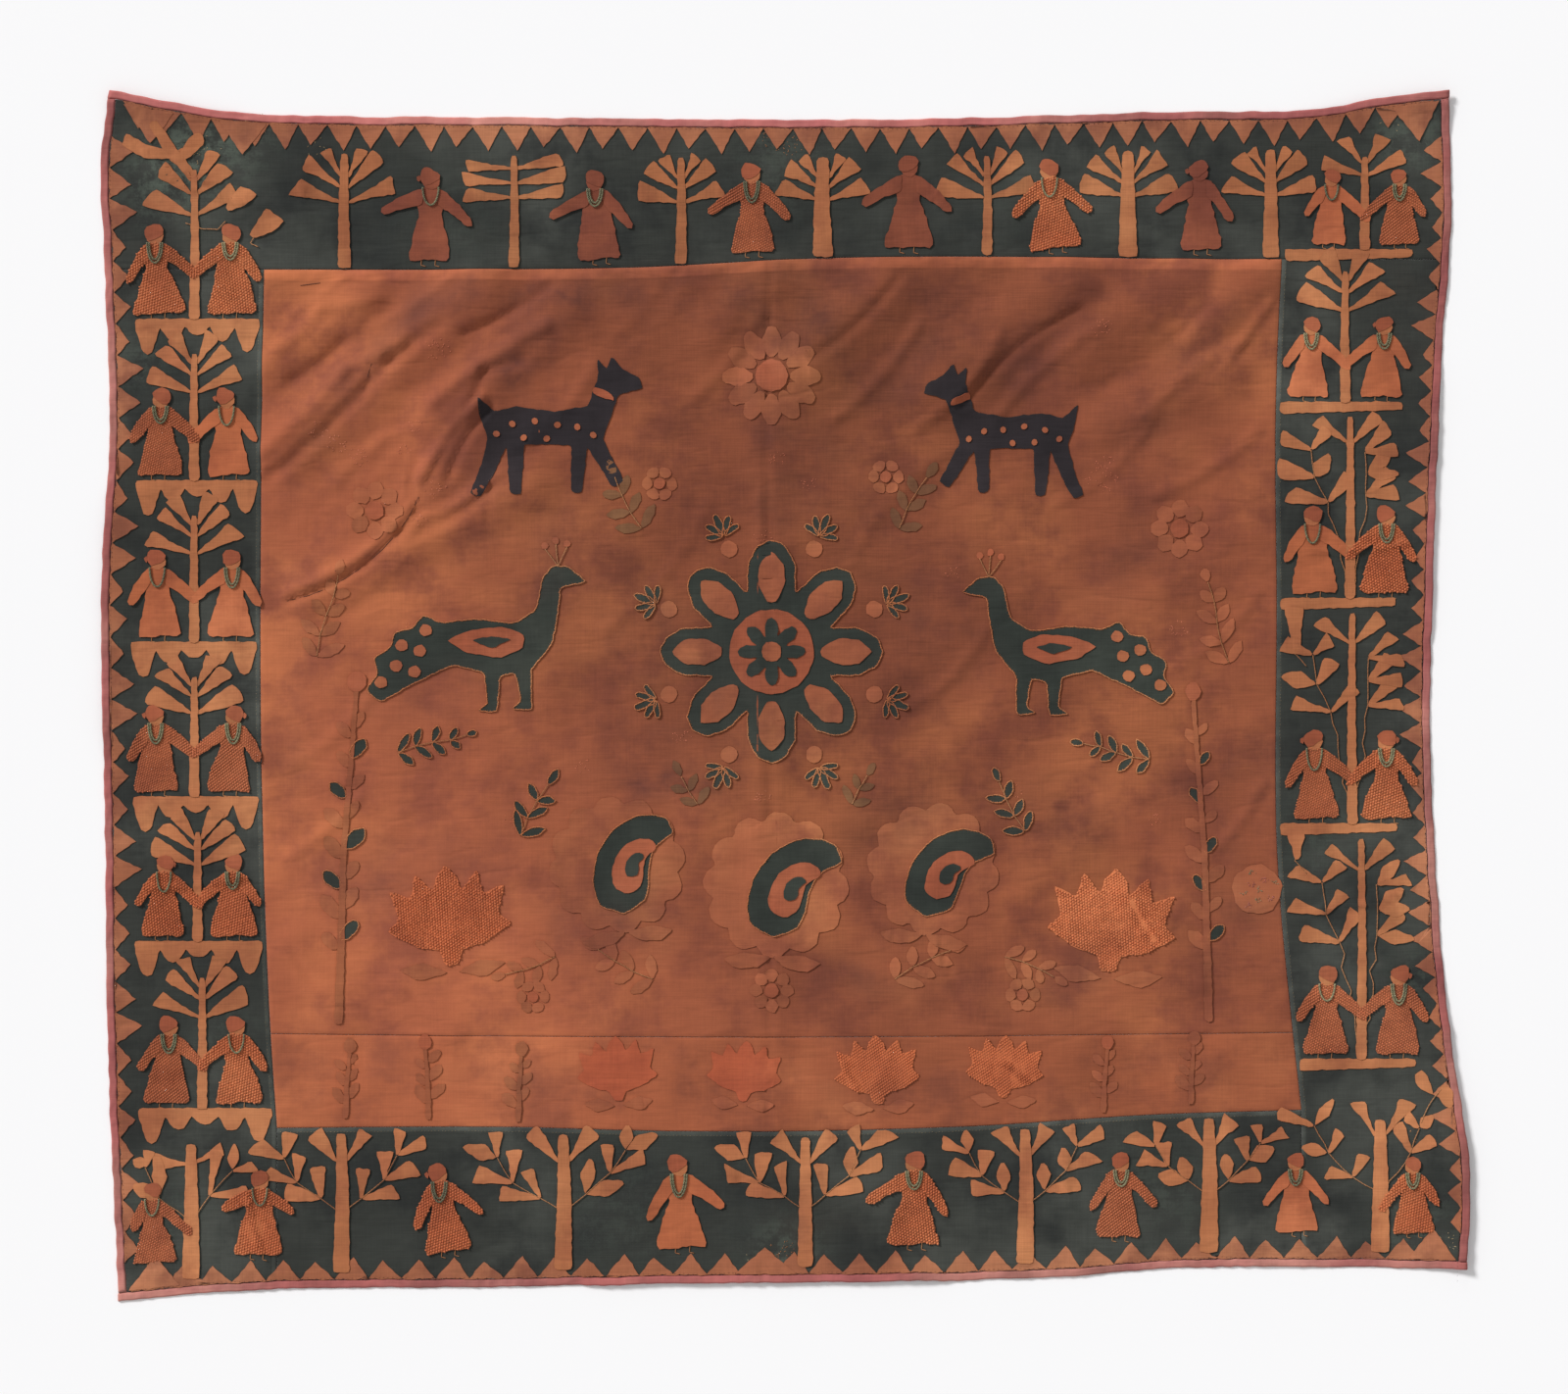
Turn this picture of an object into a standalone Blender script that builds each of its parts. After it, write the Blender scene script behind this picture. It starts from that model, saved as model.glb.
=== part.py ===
# Appliqué shrine cloth, lying flat: a pieced rust field, four dark green borders with tan and rust
# patches, sawtooth edging and a folded binding. Metres, +Z up, and the cloth's upper edge towards +Y.
import math

import bmesh
import bpy
import numpy as np

# Thicknesses and clearances
SHEET = 0.0012
GAP = 0.0003
PATCH = 0.0010
RAISED_PATCH = 0.0018
BINDING_HEIGHT = 0.0027
BINDING_WIDTH = 0.0075
PATCH_LEVEL = SHEET + GAP

# Spacing of the points along a seam or an edge, and of the net that all the layers fold on
STATION = 0.060
FOLD_PITCH = 0.030
LEAST_LIFT = 0.0008
LEAST_CUT = 0.0001

# Cut edge of the whole cloth. Top and bottom rows: x, y. Left and right rows: y, x.
EDGE_TOP = (
    (-0.602, 0.5405), (-0.553, 0.5310), (-0.494, 0.5215), (-0.439, 0.5190), (-0.263, 0.5170),
    (-0.011, 0.5150), (0.087, 0.5150), (0.349, 0.5220), (0.490, 0.5260), (0.540, 0.5350), (0.592, 0.5405),
)
EDGE_BOTTOM = (
    (-0.595, -0.5405), (-0.517, -0.5320), (-0.454, -0.5290), (-0.263, -0.5270), (-0.088, -0.5235),
    (0.110, -0.5215), (0.244, -0.5180), (0.332, -0.5110), (0.485, -0.5090), (0.608, -0.5110),
)
EDGE_LEFT = (
    (-0.5405, -0.5950), (-0.440, -0.5995), (-0.329, -0.6040), (-0.060, -0.6080), (0.017, -0.6095),
    (0.108, -0.6095), (0.245, -0.6030), (0.320, -0.6050), (0.400, -0.6080), (0.485, -0.6105),
    (0.5405, -0.6020),
)
EDGE_RIGHT = (
    (-0.511, 0.6080), (-0.425, 0.6105), (-0.382, 0.6060), (-0.334, 0.5980), (-0.250, 0.5880),
    (-0.166, 0.5820), (-0.078, 0.5770), (0.132, 0.5790), (0.300, 0.5860), (0.440, 0.5950), (0.5405, 0.5920),
)

# Seams round the field, and the seam that pieces its foot on. Columns as above.
SEAM_TOP = ((-0.463, 0.3810), (-0.263, 0.3810), (-0.130, 0.3830), (0.004, 0.3900), (0.440, 0.3900))
SEAM_BOTTOM = (
    (-0.453, -0.3850), (-0.263, -0.3840), (-0.088, -0.3880), (0.166, -0.3835), (0.332, -0.3730),
    (0.461, -0.3690),
)
SEAM_LEFT = (
    (-0.385, -0.4535), (-0.303, -0.4590), (-0.078, -0.4670), (0.245, -0.4670), (0.381, -0.4650),
)
SEAM_RIGHT = (
    (-0.367, 0.4610), (-0.281, 0.4515), (-0.166, 0.4410), (0.100, 0.4390), (0.245, 0.4380), (0.390, 0.4430),
)
SEAM_STRIP = ((-0.459, -0.3010), (-0.263, -0.3030), (0.000, -0.3040), (0.455, -0.3000))

# Soft folds, each a low ridge along a line. Columns: x and y of both ends, half width, height.
FOLDS = (
    (-0.447, 0.224, -0.272, 0.368, 0.045, 0.0090),
    (-0.456, 0.298, -0.377, 0.355, 0.035, 0.0055),
    (-0.307, 0.250, -0.198, 0.342, 0.042, 0.0085),
    (-0.333, 0.158, -0.281, 0.250, 0.034, 0.0055),
    (-0.425, 0.092, -0.228, 0.189, 0.034, 0.0060),
    (-0.058, 0.329, -0.018, 0.364, 0.035, 0.0050),
    (-0.005, 0.280, 0.087, 0.359, 0.045, 0.0070),
    (0.135, 0.272, 0.249, 0.368, 0.045, 0.0080),
    (0.262, 0.307, 0.358, 0.372, 0.040, 0.0065),
    (0.371, 0.333, 0.428, 0.381, 0.035, 0.0050),
    (0.288, 0.245, 0.393, 0.289, 0.035, 0.0045),
    (-0.012, 0.480, -0.016, -0.480, 0.033, 0.0022),
    (-0.438, -0.227, -0.395, -0.280, 0.033, 0.0032),
    (-0.338, -0.258, -0.303, -0.297, 0.033, 0.0032),
    (0.069, -0.170, 0.135, -0.258, 0.038, 0.0040),
    (0.139, -0.223, 0.174, -0.293, 0.033, 0.0036),
    (0.310, -0.183, 0.362, -0.249, 0.033, 0.0040),
    (-0.640, 0.560, -0.520, 0.560, 0.070, 0.0070),
    (0.500, 0.560, 0.640, 0.560, 0.070, 0.0060),
    (0.625, -0.300, 0.625, -0.520, 0.065, 0.0060),
    (0.605, 0.080, 0.605, 0.260, 0.055, 0.0045),
    (-0.620, -0.020, -0.620, 0.150, 0.050, 0.0040),
    (-0.150, -0.545, 0.120, -0.540, 0.050, 0.0045),
)

# Sawtooth edging, with shorter teeth beside the figures of the side borders. Columns: side, where
# the strip starts and ends, mean pitch, mean depth.
SAWTEETH = (
    ("top", -0.590, 0.578, 0.026, 0.0215), ("bottom", -0.584, 0.596, 0.030, 0.0180),
    ("left", -0.505, 0.500, 0.028, 0.0215), ("right", -0.478, 0.500, 0.0225, 0.0190),
)
TOOTH_UNEVENNESS = 0.13
TOOTH_BASE = 0.0014
SHORT_TOOTH = {"left": 0.0080, "right": 0.0035}
CORNER_REACH = -0.400

# Leaves of the trees. Columns: height on the trunk as a share of the tree, angle above level in
# degrees, bare stem, wedge length and wedge width in metres.
LEAVES = {
    "fan": (
        (0.58, 18, 0.003, 0.037, 0.0145), (0.71, 40, 0.003, 0.033, 0.0135), (0.81, 60, 0.0055, 0.019, 0.011),
    ),
    "comb": (
        (0.62, 3, 0.002, 0.036, 0.011), (0.75, 5, 0.002, 0.038, 0.011), (0.88, 8, 0.002, 0.035, 0.010),
    ),
    "bay": ((0.70, 26, 0.002, 0.036, 0.014), (0.84, 40, 0.002, 0.030, 0.012)),
    "tall": (
        (0.51, 14, 0.016, 0.034, 0.016), (0.62, 20, 0.029, 0.031, 0.016), (0.735, 27, 0.034, 0.027, 0.015),
        (0.86, 40, 0.002, 0.030, 0.013),
    ),
    "tall_right": (
        (0.51, 40, 0.014, 0.027, 0.011), (0.62, 41, 0.015, 0.026, 0.011), (0.735, 42, 0.015, 0.026, 0.011),
        (0.86, 44, 0.002, 0.027, 0.011),
    ),
    "low": ((0.80, 24, 0.002, 0.032, 0.010),),
    "spray": (
        (0.44, 12, 0.014, 0.034, 0.016), (0.50, 20, 0.040, 0.031, 0.016), (0.62, 24, 0.056, 0.028, 0.015),
    ),
    "west": (
        (0.425, 34, 0.025, 0.024, 0.013), (0.507, 42, 0.046, 0.010, 0.012), (0.83, 4, 0.002, 0.026, 0.014),
    ),
    "west_right": (
        (0.547, 6, 0.0105, 0.034, 0.0125), (0.706, 12, 0.032, 0.021, 0.0125), (0.85, 20, 0.002, 0.024, 0.014),
    ),
    "east": (
        (0.460, 15, 0.018, 0.021, 0.014), (0.614, 17, 0.0406, 0.021, 0.0125), (0.757, 20, 0.0563, 0.028, 0.012),
        (0.88, 62, 0.0060, 0.024, 0.012),
    ),
    "east_right": (
        (0.592, 30, 0.024, 0.020, 0.012), (0.651, 40, 0.040, 0.012, 0.011), (0.88, 54, 0.0060, 0.026, 0.014),
    ),
}
STEM_HALF = 0.0013
TRUNK_TAPER = 0.35
LEAF_UNEVENNESS = 3

# Trees of the top and bottom borders. Columns: x, trunk width at the foot, leaf kind, leaf spread.
TOP_TREES = (
    (-0.393, 0.011, "fan", 1.0), (-0.242, 0.009, "comb", 1.0), (-0.093, 0.010, "fan", 0.82),
    (0.034, 0.017, "fan", 0.80), (0.180, 0.009, "fan", 0.96), (0.306, 0.016, "fan", 0.87),
    (0.433, 0.014, "fan", 0.84),
)
BOTTOM_TREES = (
    (-0.396, 0.014, "spray", 0.88), (-0.198, 0.015, "spray", 1.0), (0.018, 0.013, "spray", 0.92),
    (0.214, 0.015, "spray", 0.84), (0.378, 0.016, "spray", 0.78),
)

# Tunic figures of those borders. Columns: x, height, left arm and right arm in degrees below level.
TOP_FIGURES = (
    (-0.318, 0.083, 24, 42), (-0.165, 0.080, 24, 55), (-0.029, 0.080, 34, 48), (0.109, 0.083, 32, 40),
    (0.242, 0.080, 42, 46), (0.371, 0.080, 34, 58),
)
BOTTOM_FIGURES = (
    (-0.300, 0.080, 62, 45), (-0.091, 0.084, 58, 40), (0.116, 0.084, 30, 60), (0.298, 0.076, 60, 46),
    (0.458, 0.071, 48, 53),
)

# Where those rows stand: height of the ground line over the seam or the edge, of the figures over
# the ground, and the room left free above a tree.
TOP_GROUND = 0.0010
TOP_FOOT = 0.0060
TOP_ROOM = 0.0340
BOTTOM_GROUND = 0.0300
BOTTOM_FOOT = 0.0010
BOTTOM_ROOM = 0.0050

# Trees in the two lower corners, with figures that meet the trunk or a leaf. Columns: name, x of the
# trunk, its width, leaf kind, height of the tree, then how far a figure stands to the side, its height,
# the arm away from the tree and the arm towards it in degrees below level, and how far each reaches.
BOTTOM_CORNERS = (
    ("corner_left", -0.530, 0.015, "west", 0.104,
     ((-0.0330, 0.072, 66, 45, 0.30, 0.48), (0.0590, 0.076, 32, 30, 0.32, 0.34))),
    ("corner_right", 0.531, 0.016, "east", 0.102, ((0.0295, 0.069, 58, 52, 0.36, 0.48),)),
)

# Bays of the side borders, each standing on its own band or strip. Columns: y of the band's top edge,
# x of the trunk, height of the tree, height of the two figures, leaf kind.
LEFT_BAYS = (
    (0.337, -0.527, 0.134, 0.076, "bay"),
    (0.193, -0.527, 0.114, 0.074, "bay"),
    (0.049, -0.527, 0.114, 0.074, "bay"),
    (-0.089, -0.527, 0.108, 0.073, "bay"),
    (-0.218, -0.524, 0.099, 0.069, "bay"),
    (-0.367, -0.520, 0.118, 0.074, "bay"),
)
RIGHT_BAYS = (
    (0.399, 0.517, 0.084, 0.064, "low"),
    (0.263, 0.500, 0.118, 0.068, "bay"),
    (0.088, 0.504, 0.163, 0.074, "tall"),
    (-0.113, 0.506, 0.189, 0.075, "tall"),
    (-0.323, 0.514, 0.198, 0.075, "tall"),
)
BAY_TRUNK = 0.009
BAND_DEPTH = 0.013
LOBE_DEPTHS = (0.022, 0.009, 0.004, 0.009, 0.020)
STRIP_DEPTH = 0.008
SEAM_ROOM = 0.003
BAND_ROOM = 0.026
STRIP_ROOM = 0.033
FOOT_GAP = 0.0045
BAY_OFFSETS = (-0.0320, 0.0320)
INNER_ARM = 42
OUTER_ARM = 58
OUTER_REACH = 0.36

# Motifs of the field. Columns: name, drawing, x, y, scale, facing (1 right, -1 left), turn in degrees,
# finish.
MOTIFS = (
    ("rosette", "rosette", -0.012, 0.040, 1.0, 1, 0, "green"),
    ("peacock_left", "peacock", -0.262, 0.050, 1.0, 1, 3, "green"),
    ("peacock_right", "peacock", 0.240, 0.044, 0.96, -1, -2, "green"),
    ("deer_left", "deer", -0.205, 0.236, 1.0, 1, 2, "black"),
    ("deer_right", "deer", 0.196, 0.232, 0.94, -1, -3, "black"),
    ("paisley_1", "paisley", -0.150, -0.150, 1.0, 1, 8, "green"),
    ("paisley_2", "paisley", -0.008, -0.168, 1.06, 1, -3, "green"),
    ("paisley_3", "paisley", 0.132, -0.154, 0.97, 1, -8, "green"),
    ("lotus_left", "lotus", -0.300, -0.196, 1.0, 1, 4, "knit"),
    ("lotus_right", "lotus", 0.292, -0.200, 1.04, 1, -5, "knit"),
)

# Own outlines, in metres about each motif's middle. Columns: x, y.
PEACOCK = (
    (0.088, 0.048), (0.072, 0.062), (0.058, 0.064), (0.048, 0.052), (0.042, 0.026), (0.022, 0.014),
    (-0.014, 0.020), (-0.044, 0.018), (-0.060, 0.026), (-0.070, 0.014), (-0.086, 0.012), (-0.090, -0.002),
    (-0.106, -0.010), (-0.102, -0.024), (-0.114, -0.038), (-0.102, -0.050), (-0.074, -0.036),
    (-0.036, -0.020), (-0.008, -0.028), (-0.006, -0.056), (-0.016, -0.062), (0.002, -0.064),
    (0.006, -0.032), (0.020, -0.030), (0.024, -0.056), (0.014, -0.062), (0.033, -0.064), (0.034, -0.028),
    (0.054, -0.006), (0.060, 0.018), (0.064, 0.044),
)
DEER = (
    (0.080, 0.036), (0.076, 0.046), (0.062, 0.054), (0.052, 0.066), (0.048, 0.054), (0.040, 0.064),
    (0.040, 0.048), (0.030, 0.022), (0.000, 0.018), (-0.034, 0.024), (-0.054, 0.020), (-0.068, 0.034),
    (-0.066, 0.014), (-0.060, -0.004), (-0.068, -0.030), (-0.078, -0.052), (-0.068, -0.056),
    (-0.054, -0.032), (-0.044, -0.010), (-0.042, -0.054), (-0.032, -0.055), (-0.028, -0.010),
    (0.014, -0.012), (0.012, -0.054), (0.022, -0.055), (0.028, -0.014), (0.050, -0.052), (0.060, -0.046),
    (0.042, -0.008), (0.050, 0.012), (0.058, 0.032),
)
LOTUS_HALF = (
    (0.000, 0.046), (0.010, 0.034), (0.012, 0.022), (0.028, 0.040), (0.032, 0.018), (0.052, 0.026),
    (0.044, 0.000), (0.056, -0.010), (0.030, -0.026), (0.010, -0.030), (0.006, -0.044),
)
ROSETTE_RADIUS = 0.100
ROSETTE_PETALS = 8
ROSETTE_WAIST = 0.56
ROSETTE_STEPS = 6
PAISLEY_LENGTH = 0.106
PAISLEY_WIDTH = 0.050
PAISLEY_CURL = 2.3
PAISLEY_STEPS = 11

# Colour, roughness and metallic value of each finish
FINISHES = {
    "field": ((0.334, 0.105, 0.048), 0.92, 0.0),
    "strip": ((0.402, 0.140, 0.058), 0.92, 0.0),
    "border": ((0.023, 0.034, 0.028), 0.90, 0.0),
    "binding": ((0.376, 0.115, 0.114), 0.88, 0.0),
    "tan": ((0.434, 0.162, 0.061), 0.90, 0.0),
    "rust": ((0.503, 0.133, 0.051), 0.90, 0.0),
    "green": ((0.022, 0.040, 0.032), 0.90, 0.0),
    "black": ((0.023, 0.018, 0.021), 0.90, 0.0),
    "knit": ((0.520, 0.130, 0.045), 0.96, 0.0),
}


def clear_scene():
    for obj in list(bpy.data.objects):
        bpy.data.objects.remove(obj, do_unlink=True)


def stations(start, end):
    """The shared stations strictly between two places, in the order of travel."""
    low, high = sorted((start, end))
    first = math.floor(low / STATION + 1e-6) + 1
    last = math.ceil(high / STATION - 1e-6) - 1
    places = [i * STATION for i in range(first, last + 1)]
    return places if end >= start else places[::-1]


def curve_through(rows):
    """A smooth line through the rows, straight between stations so that neighbours share it exactly."""
    along, across = np.array(rows).T
    slope = np.gradient(across, along)

    def smooth(place):
        i = int(np.clip(np.searchsorted(along, place) - 1, 0, len(along) - 2))
        span = along[i + 1] - along[i]
        t = (place - along[i]) / span
        start = across[i] * (1 + 2 * t) * (1 - t) ** 2 + slope[i] * span * t * (1 - t) ** 2
        end = across[i + 1] * t * t * (3 - 2 * t) - slope[i + 1] * span * t * t * (1 - t)
        return start + end

    first, last = math.floor(along[0] / STATION), math.ceil(along[-1] / STATION)
    knots = [i * STATION for i in range(first, last + 1)]
    heights = [smooth(float(np.clip(knot, along[0], along[-1]))) for knot in knots]
    return lambda place: float(np.interp(place, knots, heights))


def shifted(line, distance):
    return lambda place: line(place) + distance


def corner(upright, level):
    """Where an upright line x(y) meets a level line y(x)."""
    x = 0.0
    y = level(x)
    for _ in range(12):
        x = upright(y)
        y = level(x)
    return x, y


def area_between(low, high, left, right):
    """Closed outline of the cloth between four lines."""
    foot_left, foot_right = corner(left, low), corner(right, low)
    head_right, head_left = corner(right, high), corner(left, high)
    outline = [foot_left] + [(x, low(x)) for x in stations(foot_left[0], foot_right[0])]
    outline += [foot_right] + [(right(y), y) for y in stations(foot_right[1], head_right[1])]
    outline += [head_right] + [(x, high(x)) for x in stations(head_right[0], head_left[0])]
    outline += [head_left] + [(left(y), y) for y in stations(head_left[1], foot_left[1])]
    return outline


TOP, BOTTOM = curve_through(EDGE_TOP), curve_through(EDGE_BOTTOM)
LEFT, RIGHT = curve_through(EDGE_LEFT), curve_through(EDGE_RIGHT)
FIELD_TOP, FIELD_BOTTOM = curve_through(SEAM_TOP), curve_through(SEAM_BOTTOM)
FIELD_LEFT, FIELD_RIGHT = curve_through(SEAM_LEFT), curve_through(SEAM_RIGHT)
PIECING = curve_through(SEAM_STRIP)


def ridge_height(x, y, fold):
    """Height of one fold at a point: rounded across, and fading out at both ends."""
    x0, y0, x1, y1, half_width, height = fold
    length = math.hypot(x1 - x0, y1 - y0)
    along = ((x - x0) * (x1 - x0) + (y - y0) * (y1 - y0)) / length
    across = abs((x - x0) * (y1 - y0) - (y - y0) * (x1 - x0)) / length
    beyond = max(-along, along - length, 0.0)
    distance = math.hypot(across, beyond) / half_width
    return height * math.cos(distance * math.pi / 2) ** 2 if distance < 1 else 0.0


def net_height(column, row):
    """Lift of the cloth at one knot of the shared net; small lifts are laid flat."""
    key = (column, row)
    if key not in NET:
        x, y = column * FOLD_PITCH, row * FOLD_PITCH
        lift = max(ridge_height(x, y, fold) for fold in FOLDS)
        NET[key] = lift if lift > LEAST_LIFT else 0.0
    return NET[key]


NET = {}


def lift_at(x, y):
    """Lift of the cloth anywhere, flat within each triangle of the net."""
    column, row = math.floor(x / FOLD_PITCH), math.floor(y / FOLD_PITCH)
    u, v = x / FOLD_PITCH - column, y / FOLD_PITCH - row
    near, far = net_height(column, row), net_height(column + 1, row + 1)
    if u >= v:
        side = net_height(column + 1, row)
        return near + (side - near) * u + (far - side) * v
    side = net_height(column, row + 1)
    return near + (side - near) * v + (far - side) * u


def cut_on_net(mesh):
    """Cut the mesh along the net's lines, but not so close to a point that a sliver comes off."""
    xs = [vert.co.x for vert in mesh.verts]
    ys = [vert.co.y for vert in mesh.verts]
    families = (
        ((1, 0, 0), min(xs), max(xs)),
        ((0, 1, 0), min(ys), max(ys)),
        ((1, -1, 0), min(xs) - max(ys), max(xs) - min(ys)),
    )
    for normal, low, high in families:
        for step in range(math.ceil(low / FOLD_PITCH), math.floor(high / FOLD_PITCH) + 1):
            place = step * FOLD_PITCH
            point = (0, place, 0) if normal[0] == 0 else (place, 0, 0)
            parts = mesh.verts[:] + mesh.edges[:] + mesh.faces[:]
            bmesh.ops.bisect_plane(mesh, geom=parts, dist=LEAST_CUT, plane_co=point, plane_no=normal)


def slab(outline, level, thickness):
    """A flat plate of the outline, as a bmesh."""
    plate = bmesh.new()
    face = plate.faces.new([plate.verts.new((x, y, level)) for x, y in outline])
    grown = bmesh.ops.extrude_face_region(plate, geom=[face])
    raised = [part for part in grown["geom"] if isinstance(part, bmesh.types.BMVert)]
    bmesh.ops.translate(plate, verts=raised, vec=(0, 0, thickness))
    bmesh.ops.recalc_face_normals(plate, faces=plate.faces[:])
    return plate


def finish_material(finish):
    """The Principled material of one finish, made once."""
    material = bpy.data.materials.get(finish)
    if material:
        return material
    colour, roughness, metallic = FINISHES[finish]
    material = bpy.data.materials.new(finish)
    material.use_nodes = True
    shader = material.node_tree.nodes["Principled BSDF"]
    shader.inputs["Base Color"].default_value = (*colour, 1.0)
    shader.inputs["Roughness"].default_value = roughness
    shader.inputs["Metallic"].default_value = metallic
    return material


def add_object(name, plate, finish):
    mesh = bpy.data.meshes.new(name)
    plate.to_mesh(mesh)
    plate.free()
    obj = bpy.data.objects.new(name, mesh)
    bpy.context.scene.collection.objects.link(obj)
    mesh.materials.append(finish_material(finish))
    return obj


def add_cloth(name, outlines, finish, level=PATCH_LEVEL, thickness=PATCH):
    """One piece of cloth: its outlines united, cut on the net and laid over the folds."""
    obj = add_object(name, slab(outlines[0], level, thickness), finish)
    guides = [add_object(f"{name}.guide", slab(line, level, thickness), finish) for line in outlines[1:]]
    for guide in guides:
        union = obj.modifiers.new("union", "BOOLEAN")
        union.operation = "UNION"
        union.object = guide
    united = bpy.data.meshes.new_from_object(obj.evaluated_get(bpy.context.evaluated_depsgraph_get()))
    for guide in guides:
        bpy.data.objects.remove(guide, do_unlink=True)
    obj.modifiers.clear()
    plate = bmesh.new()
    plate.from_mesh(united)
    bmesh.ops.remove_doubles(plate, verts=plate.verts[:], dist=1e-6)
    bmesh.ops.triangulate(plate, faces=plate.faces[:])
    cut_on_net(plate)
    for vert in plate.verts:
        vert.co.z += lift_at(vert.co.x, vert.co.y)
    plate.to_mesh(obj.data)
    plate.free()
    return obj


def placed(outline, x, y, scale=1.0, facing=1, turn=0.0):
    """Move a drawing from its own middle or foot to its place on the cloth."""
    cos, sin = math.cos(math.radians(turn)), math.sin(math.radians(turn))
    points = [(px * scale * facing, py * scale) for px, py in outline]
    return [(x + px * cos - py * sin, y + px * sin + py * cos) for px, py in points]


def tree_outline(height, trunk, leaves, spread=1.0, right_leaves=None):
    """A trunk with wedge leaves on bare stems, walked once round from the foot."""
    def trunk_half(y):
        return trunk / 2 * (1 - TRUNK_TAPER * y / height)

    sides = []
    for side in (1, -1):
        walk = [(side * trunk_half(0), 0.0)]
        for share, angle, stem, length, width in (right_leaves or leaves) if side > 0 else leaves:
            tilt = math.radians(angle + side * LEAF_UNEVENNESS)
            root = share * height
            half = trunk_half(root)
            near, far = stem * spread, (stem + length) * spread
            corners = ((near, -STEM_HALF), (far, -width / 2), (0.95 * far, width / 2), (near, STEM_HALF))
            walk.append((side * half, root - STEM_HALF))
            for distance, offset in corners:
                out = half + distance * math.cos(tilt) - offset * math.sin(tilt)
                up = root + distance * math.sin(tilt) + offset * math.cos(tilt)
                walk.append((side * out, up))
            walk.append((side * half, root + STEM_HALF))
        walk.append((side * trunk_half(height), height))
        sides.append(walk)
    return sides[0] + sides[1][::-1]


def figure_outline(height, left_arm, right_arm, left_reach=0.42, right_reach=0.42):
    """A plain cut-cloth doll in a flared tunic, with no features; sizes are shares of its height."""
    def half(side, angle, reach):
        tilt = math.radians(angle)
        out, down = math.cos(tilt), math.sin(tilt)
        wrist = (0.12 + reach * out, 0.70 - reach * down)
        points = [(0.045, 0.985), (0.095, 0.930), (0.090, 0.850), (0.045, 0.800), (0.120, 0.765)]
        points.append((wrist[0] + 0.042 * down, wrist[1] + 0.042 * out))
        points.append((wrist[0] + 0.040 * out, wrist[1] - 0.040 * down))
        points.append((wrist[0] - 0.042 * down, wrist[1] - 0.042 * out))
        points += [(0.115, 0.630), (0.115, 0.500), (0.268, 0.030), (0.245, 0.000)]
        return [(side * x * height, y * height) for x, y in points]

    right = half(1, right_arm, right_reach)
    left = half(-1, left_arm, left_reach)
    return right + left[::-1]


def band_outline(left, right, top, lobes):
    """A level band whose lower edge hangs in lobes."""
    outline = [(left, top), (right, top), (right, top - BAND_DEPTH * 0.4)]
    pitch = (right - left) / len(lobes)
    for i, depth in enumerate(reversed(lobes)):
        edge = right - i * pitch
        for share, drop in ((0.22, 0.75), (0.50, 1.0), (0.78, 0.75)):
            outline.append((edge - share * pitch, top - BAND_DEPTH * 0.55 - depth * drop))
        outline.append((edge - pitch, top - BAND_DEPTH * 0.4))
    return outline


def rosette_outline():
    count = ROSETTE_PETALS * ROSETTE_STEPS
    points = []
    for i in range(count):
        angle = 2 * math.pi * i / count
        swell = abs(math.cos(ROSETTE_PETALS / 2 * angle)) ** 0.8
        radius = ROSETTE_RADIUS * (ROSETTE_WAIST + (1 - ROSETTE_WAIST) * swell)
        points.append((radius * math.cos(angle), radius * math.sin(angle)))
    return points


def paisley_outline():
    """A drop on a spine that bends over more and more towards its tip."""
    stride = PAISLEY_LENGTH / PAISLEY_STEPS
    x, y = 0.0, -0.42 * PAISLEY_LENGTH
    left, right = [], []
    for i in range(PAISLEY_STEPS + 1):
        share = i / PAISLEY_STEPS
        heading = PAISLEY_CURL * share ** 1.8
        half = PAISLEY_WIDTH / 2 * math.sqrt(max(0.0, math.sin(math.pi * share ** 0.62)))
        left.append((x - half * math.cos(heading), y + half * math.sin(heading)))
        right.append((x + half * math.cos(heading), y - half * math.sin(heading)))
        x += stride * math.sin(heading)
        y += stride * math.cos(heading)
    return right + left[-2:0:-1]


def lotus_outline():
    return list(LOTUS_HALF) + [(-x, y) for x, y in reversed(LOTUS_HALF) if x]


def motif_outline(drawing):
    drawings = {"peacock": lambda: PEACOCK, "deer": lambda: DEER, "rosette": rosette_outline,
                "paisley": paisley_outline, "lotus": lotus_outline}
    return drawings[drawing]()


def side_point(side, along, inset):
    """A point at some inset from one side's cut edge."""
    if side in ("top", "bottom"):
        return along, TOP(along) - inset if side == "top" else BOTTOM(along) + inset
    return LEFT(along) + inset if side == "left" else RIGHT(along) - inset, along


def beside_figures(side, place):
    """Whether the figures or bands of a side border come close to the edge here."""
    bays = {"left": LEFT_BAYS, "right": RIGHT_BAYS}.get(side, ())
    return place < CORNER_REACH or any(-0.030 < place - bay[0] < 0.85 * bay[3] for bay in bays)


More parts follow.
